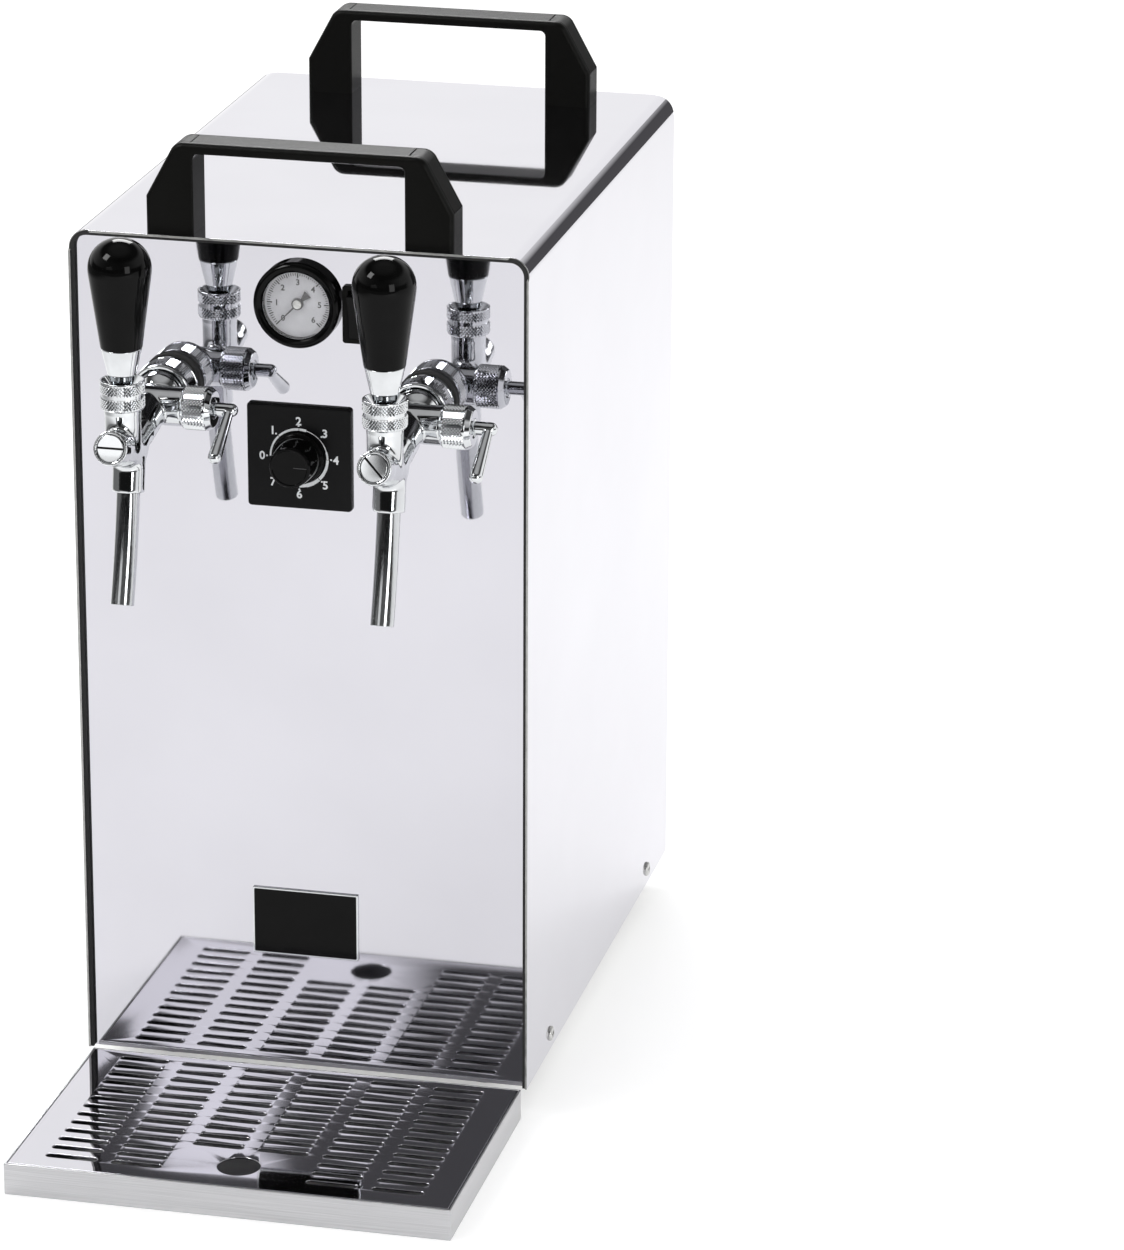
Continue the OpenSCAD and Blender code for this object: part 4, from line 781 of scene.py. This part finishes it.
piece("tap_rubber_washers", at_both(washer), rubber, "tap_washers")
piece("tap_coupling_nuts", at_both(coupling_nut), chrome, "coupling_nuts")
piece("tap_knurled_collars", at_both(collar), chrome, "tap_collars")
piece("compensator_nuts", at_both(comp_nut), chrome, "comp_nuts")
# The plugs' slot floors are painted dark as shade
piece("tap_front_plugs", [move(plug(angle), TAPS[side]) for side, angle in ((-1, 0), (1, 45))],
      chrome, "tap_plugs", second=slot_floor_painted_shade)
for side, word in ((-1, "left"), (1, "right")):
    tap, arm = "tap_body_" + word, "comp_lever_" + word
    casting = cast(tap, voxel=0.45, rounds=12, blended=blended_zone)
    reamed(casting, TAPS[side] @ CHAMBER @ FORWARD, *PISTON_BORE)
    reamed(casting, TAPS[side] @ FORWARD, *CONE_BORE)
    piece(word + "_tap_casting", [casting], chrome, tap, angle=60)
    piece(word + "_tap_ball_lever", [move(lever(), TAPS[side] @ PIVOT)], chrome, "tap_lever_" + word)
    piece(word + "_tap_black_grip", [move(grip(), TAPS[side] @ PIVOT)], black_gloss, "tap_grip_" + word)
    piece(word + "_compensator_arm", [cast(arm, voxel=0.3, rounds=6)], chrome, arm, angle=60)
    piece(word + "_tap_spout", [move(spout(), TAPS[side])], drawn_steel, "spout_" + word)


# Drip tray

def tray():
    """Folded pan, open at the top, with a rougher inside painted darker as shade"""
    size, middle = extent("drip_tray"), centre("drip_tray")
    wall, skin, rounding = 1.2, 1, 0.45
    bm = block(*size, at(*middle))
    top = [face for face in bm.faces if face.normal.z > 0.5]
    bmesh.ops.inset_region(bm, faces=top, thickness=wall, use_even_offset=True)
    grow(bm, top, (0, 0, wall - size.z))
    soften(tidy(bm), rounding)
    # Faces inside the pan take the second finish, its painted shade
    for face in bm.faces:
        spot = face.calc_center_median() - middle
        face.material_index = int(all(abs(spot[i]) < size[i] / 2 - skin for i in range(3)))
    return bm


# The pan's inside is painted darker as shade
piece("drip_tray_pan", [tray()], brushed_steel, "drip_tray", second=tray_inside_painted_shade)
piece("drip_tray_grille", [soften(tidy(copied("drip_grille")), 0.3, 2, 40)], mirror_steel, "drip_grille")


# Pieces at the rear

piece("drink_inlet_fittings", [refined("beer_inlets", 0.4)], white_plastic, "beer_inlets")
piece("air_outlet_fitting", [refined("air_outlet", 0.4)], blue_plastic, "air_outlet")
piece("power_cable_gland", [refined("cable_gland", 0.5)], black_plastic, "cable_gland")

# Pieces carried over from the CAD frame take their slot's finish
BY_SLOT = {"polished_steel": mirror_steel, "brushed_steel": brushed_steel, "bare_steel": plated_steel,
           "chrome": chrome, "brass": brass, "rubber": rubber, "black_plastic": black_plastic,
           "black_gloss": black_gloss, "dial_white": dial_white, "glass": clear_glass,
           "pointer_grey": pointer_grey, "white_plastic": white_plastic, "blue_plastic": blue_plastic,
           "aluminium": aluminium, "dark_paint": dark_paint}
for name, node in NODES.items():
    if not node.hide_render:
        node.data.materials.clear()
        node.data.materials.append(BY_SLOT[SLOTS[name]])


# Floor, studio and camera, in metres

def plane(name, width, height, place, material):
    bm = bmesh.new()
    bmesh.ops.create_grid(bm, x_segments=1, y_segments=1, size=0.5,
                          matrix=place @ Matrix.Diagonal((width, height, 1, 1)))
    mesh = bpy.data.meshes.new(name)
    bm.to_mesh(mesh)
    bm.free()
    mesh.materials.append(material)
    obj = bpy.data.objects.new(name, mesh)
    bpy.context.scene.collection.objects.link(obj)
    return obj


def white_floor():
    """White floor, partly lit from itself to meet the background; far in front and far left it mirrors dim"""
    material, tree = empty_tree("white_studio_floor")
    seen = add(tree, "LightPath").outputs
    place = add(tree, "SeparateXYZ", links={"Vector": add(tree, "TexCoord").outputs["Object"]}).outputs
    pale = add(tree, "BsdfDiffuse", {"Color": rgb("#ECECEC")}).outputs["BSDF"]
    glow = add(tree, "Emission", {"Color": WHITE, "Strength": 0.32}).outputs["Emission"]
    matt = add(tree, "BsdfDiffuse", {"Color": rgb("#E4E4E4")}).outputs["BSDF"]
    dim = add(tree, "Emission", {"Color": WHITE, "Strength": 0.2}).outputs["Emission"]
    fades = []
    for axis, start, end in (("Y", -1.9, -2.2), ("X", -0.7, -1.7)):
        limits = {"From Min": start, "From Max": end}
        fades.append(add(tree, "MapRange", limits, {"Value": place[axis]}).outputs["Result"])
    far = add(tree, "Math", links=dict(enumerate(fades)), operation="MAXIMUM").outputs["Value"]
    share = add(tree, "Math", links={0: far, 1: seen["Is Glossy Ray"]}, operation="MULTIPLY").outputs["Value"]
    lifted = add(tree, "AddShader", links={0: pale, 1: glow}).outputs["Shader"]
    direct = add(tree, "MixShader", links={0: share, 1: lifted, 2: dim}).outputs["Shader"]
    shown = add(tree, "MixShader", links={0: seen["Is Diffuse Ray"], 1: direct, 2: matt}).outputs["Shader"]
    add(tree, "OutputMaterial", links={"Surface": shown})
    return material


def card(name, axis, tones, strength=1.0):
    """Glow of a studio card, whose tones change at places along an axis"""
    material, tree = empty_tree(name)
    place = add(tree, "SeparateXYZ", links={"Vector": add(tree, "TexCoord").outputs["Object"]}).outputs[axis]
    low, high = tones[0][0], tones[-1][0]
    run = add(tree, "MapRange", {"From Min": low, "From Max": high}, {"Value": place}).outputs["Result"]
    ramp = add(tree, "ValToRGB", links={"Fac": run})
    stops = ramp.color_ramp.elements
    while len(stops) < len(tones):
        stops.new(0.5)
    for stop, (spot, tone) in zip(stops, tones):
        stop.position, stop.color = (spot - low) / (high - low), rgb(tone)
    glow = add(tree, "Emission", {"Strength": strength}, {"Color": ramp.outputs["Color"]})
    add(tree, "OutputMaterial", links={"Surface": glow.outputs["Emission"]})
    return material


def only_reflected(obj):
    obj.visible_camera = obj.visible_diffuse = obj.visible_shadow = obj.visible_transmission = False
    return obj


def aimed(place, aim):
    return at(*place) @ (Vector(aim) - Vector(place)).to_track_quat("-Z", "Y").to_matrix().to_4x4()


def lamp(name, place, aim, width, height, power, glare):
    """Softbox that lights the object, and its bright face as it shows in reflections"""
    data = bpy.data.lights.new(name, "AREA")
    data.shape, data.size, data.size_y, data.energy = "RECTANGLE", width, height, power
    obj = bpy.data.objects.new(name, data)
    obj.matrix_world = aimed(place, aim)
    obj.visible_glossy = False
    bpy.context.scene.collection.objects.link(obj)
    face = card(name + "_face", "Z", ((0, "#FFFFFF"), (1, "#FFFFFF")), glare)
    only_reflected(plane(name + "_front", width, height, aimed(place, aim), face))


def studio_world():
    """Soft grey room for diffuse light, a white backdrop, and a dark front and ceiling in reflections"""
    world = bpy.data.worlds.new("studio")
    world.use_nodes = True
    tree = world.node_tree
    tree.nodes.clear()
    seen = add(tree, "LightPath").outputs
    facing = add(tree, "SeparateXYZ", links={"Vector": add(tree, "TexCoord").outputs["Generated"]}).outputs
    # Each part of the room fades between two directions on an axis, from one strength to another
    parts = {}
    for part, axis, start, end, low, high in (
            ("ceiling", "Z", 0.5, 0.64, 1.2, 0.07), ("front", "Y", -0.8, 0.0, 0.1, 1.0),
            ("skirting", "Z", 0.12, 0.2, 0.08, 1.0), ("rear", "Y", 0.1, 0.4, 0.0, 1.0),
            ("zenith", "Z", 0.78, 0.95, 0.0, 0.5)):
        limits = {"From Min": start, "From Max": end, "To Min": low, "To Max": high}
        parts[part] = add(tree, "MapRange", limits, {"Value": facing[axis]}).outputs["Result"]
    level = parts["front"]
    for operation, part in (("MULTIPLY", "skirting"), ("MAXIMUM", "rear"), ("MULTIPLY", "ceiling"),
                            ("MAXIMUM", "zenith")):
        level = add(tree, "Math", links={0: level, 1: parts[part]}, operation=operation).outputs["Value"]
    room = add(tree, "Background", {"Color": WHITE, "Strength": 0.87}).outputs["Background"]
    mirrored = add(tree, "Background", {"Color": WHITE}, {"Strength": level}).outputs["Background"]
    white = add(tree, "Background", {"Color": WHITE, "Strength": 1.0}).outputs["Background"]
    straight = add(tree, "Math", links={0: seen["Is Camera Ray"], 1: seen["Is Transmission Ray"]},
                   operation="MAXIMUM").outputs["Value"]
    around = add(tree, "MixShader", links={0: seen["Is Glossy Ray"], 1: room, 2: mirrored}).outputs["Shader"]
    shown = add(tree, "MixShader", links={0: straight, 1: around, 2: white}).outputs["Shader"]
    add(tree, "OutputWorld", links={"Surface": shown})
    return world


plane("studio_floor", 14, 14, at(0, 0, 0), white_floor())
# Bright cards in the dark front of the studio, and a grey one that shows in the right-hand bend
FRONT_CARDS_Y = -3.5
for name, low, high, strength, tones in (
        ("low_front_card", 0.95, 1.4, 1.0,
         ((-2.3, "#3C3B3A"), (-2.1, "#F4F4F4"), (-0.66, "#FFFFFF"), (-0.55, "#3C3B3A"))),
        ("high_front_card", 1.4, 1.575, 1.8,
         ((-2.3, "#3C3B3A"), (-2.1, "#E4E4E4"), (-0.88, "#F0F0F0"), (-0.78, "#2A2A2A"))),
        ("front_card_strip", 1.575, 1.74, 1.7,
         ((-1.18, "#2A2A2A"), (-1.14, "#FFFFFF"), (-1.04, "#FFFFFF"), (-0.98, "#2A2A2A")))):
    left, right = tones[0][0], tones[-1][0]
    place = at((left + right) / 2, FRONT_CARDS_Y, (low + high) / 2) @ FORWARD
    only_reflected(plane(name, right - left, high - low, place, card(name + "_tones", "X", tones, strength)))
bend_tones = card("bend_card_tones", "Z", ((0.95, "#585759"), (1.5, "#FFFFFF")))
only_reflected(plane("bend_card", 2.2, 1.7, at(1.55, 2.6, 0.86) @ FORWARD, bend_tones))

middle = (0, 0, 0.3)
lamp("left_softbox", (-1.25, -1.05, 1.95), middle, width=0.7, height=0.7, power=5, glare=18)
lamp("overhead_softbox", (-0.4, 1.5, 1.75), middle, width=1.1, height=0.7, power=14, glare=16)
lamp("right_softbox", (1.5, -1.75, 0.75), middle, width=0.7, height=0.9, power=14, glare=5)
bpy.context.scene.world = studio_world()

# Camera of the photograph's view: compass turn, height and roll, then aim and distance in millimetres
azimuth, elevation, roll = (math.radians(angle) for angle in (12.9495, 19.2893, 0.2657))
aim, distance, focal_length = Vector((137.74, -108.3, 276.26)), 2787.34, 158.25
back = Vector((math.sin(azimuth) * math.cos(elevation), -math.cos(azimuth) * math.cos(elevation),
               math.sin(elevation)))
right = Vector((math.cos(azimuth), math.sin(azimuth), 0))
rolled = (Matrix.Rotation(roll, 3, back) @ Matrix((right, back.cross(right), back)).transposed()).to_4x4()
camera = bpy.data.objects.new("camera", bpy.data.cameras.new("camera"))
camera.data.lens = focal_length
camera.matrix_world = Matrix.Translation(MM * (aim + distance * back)) @ rolled
bpy.context.scene.collection.objects.link(camera)
bpy.context.scene.camera = camera
bpy.context.scene.view_settings.view_transform = "Standard"
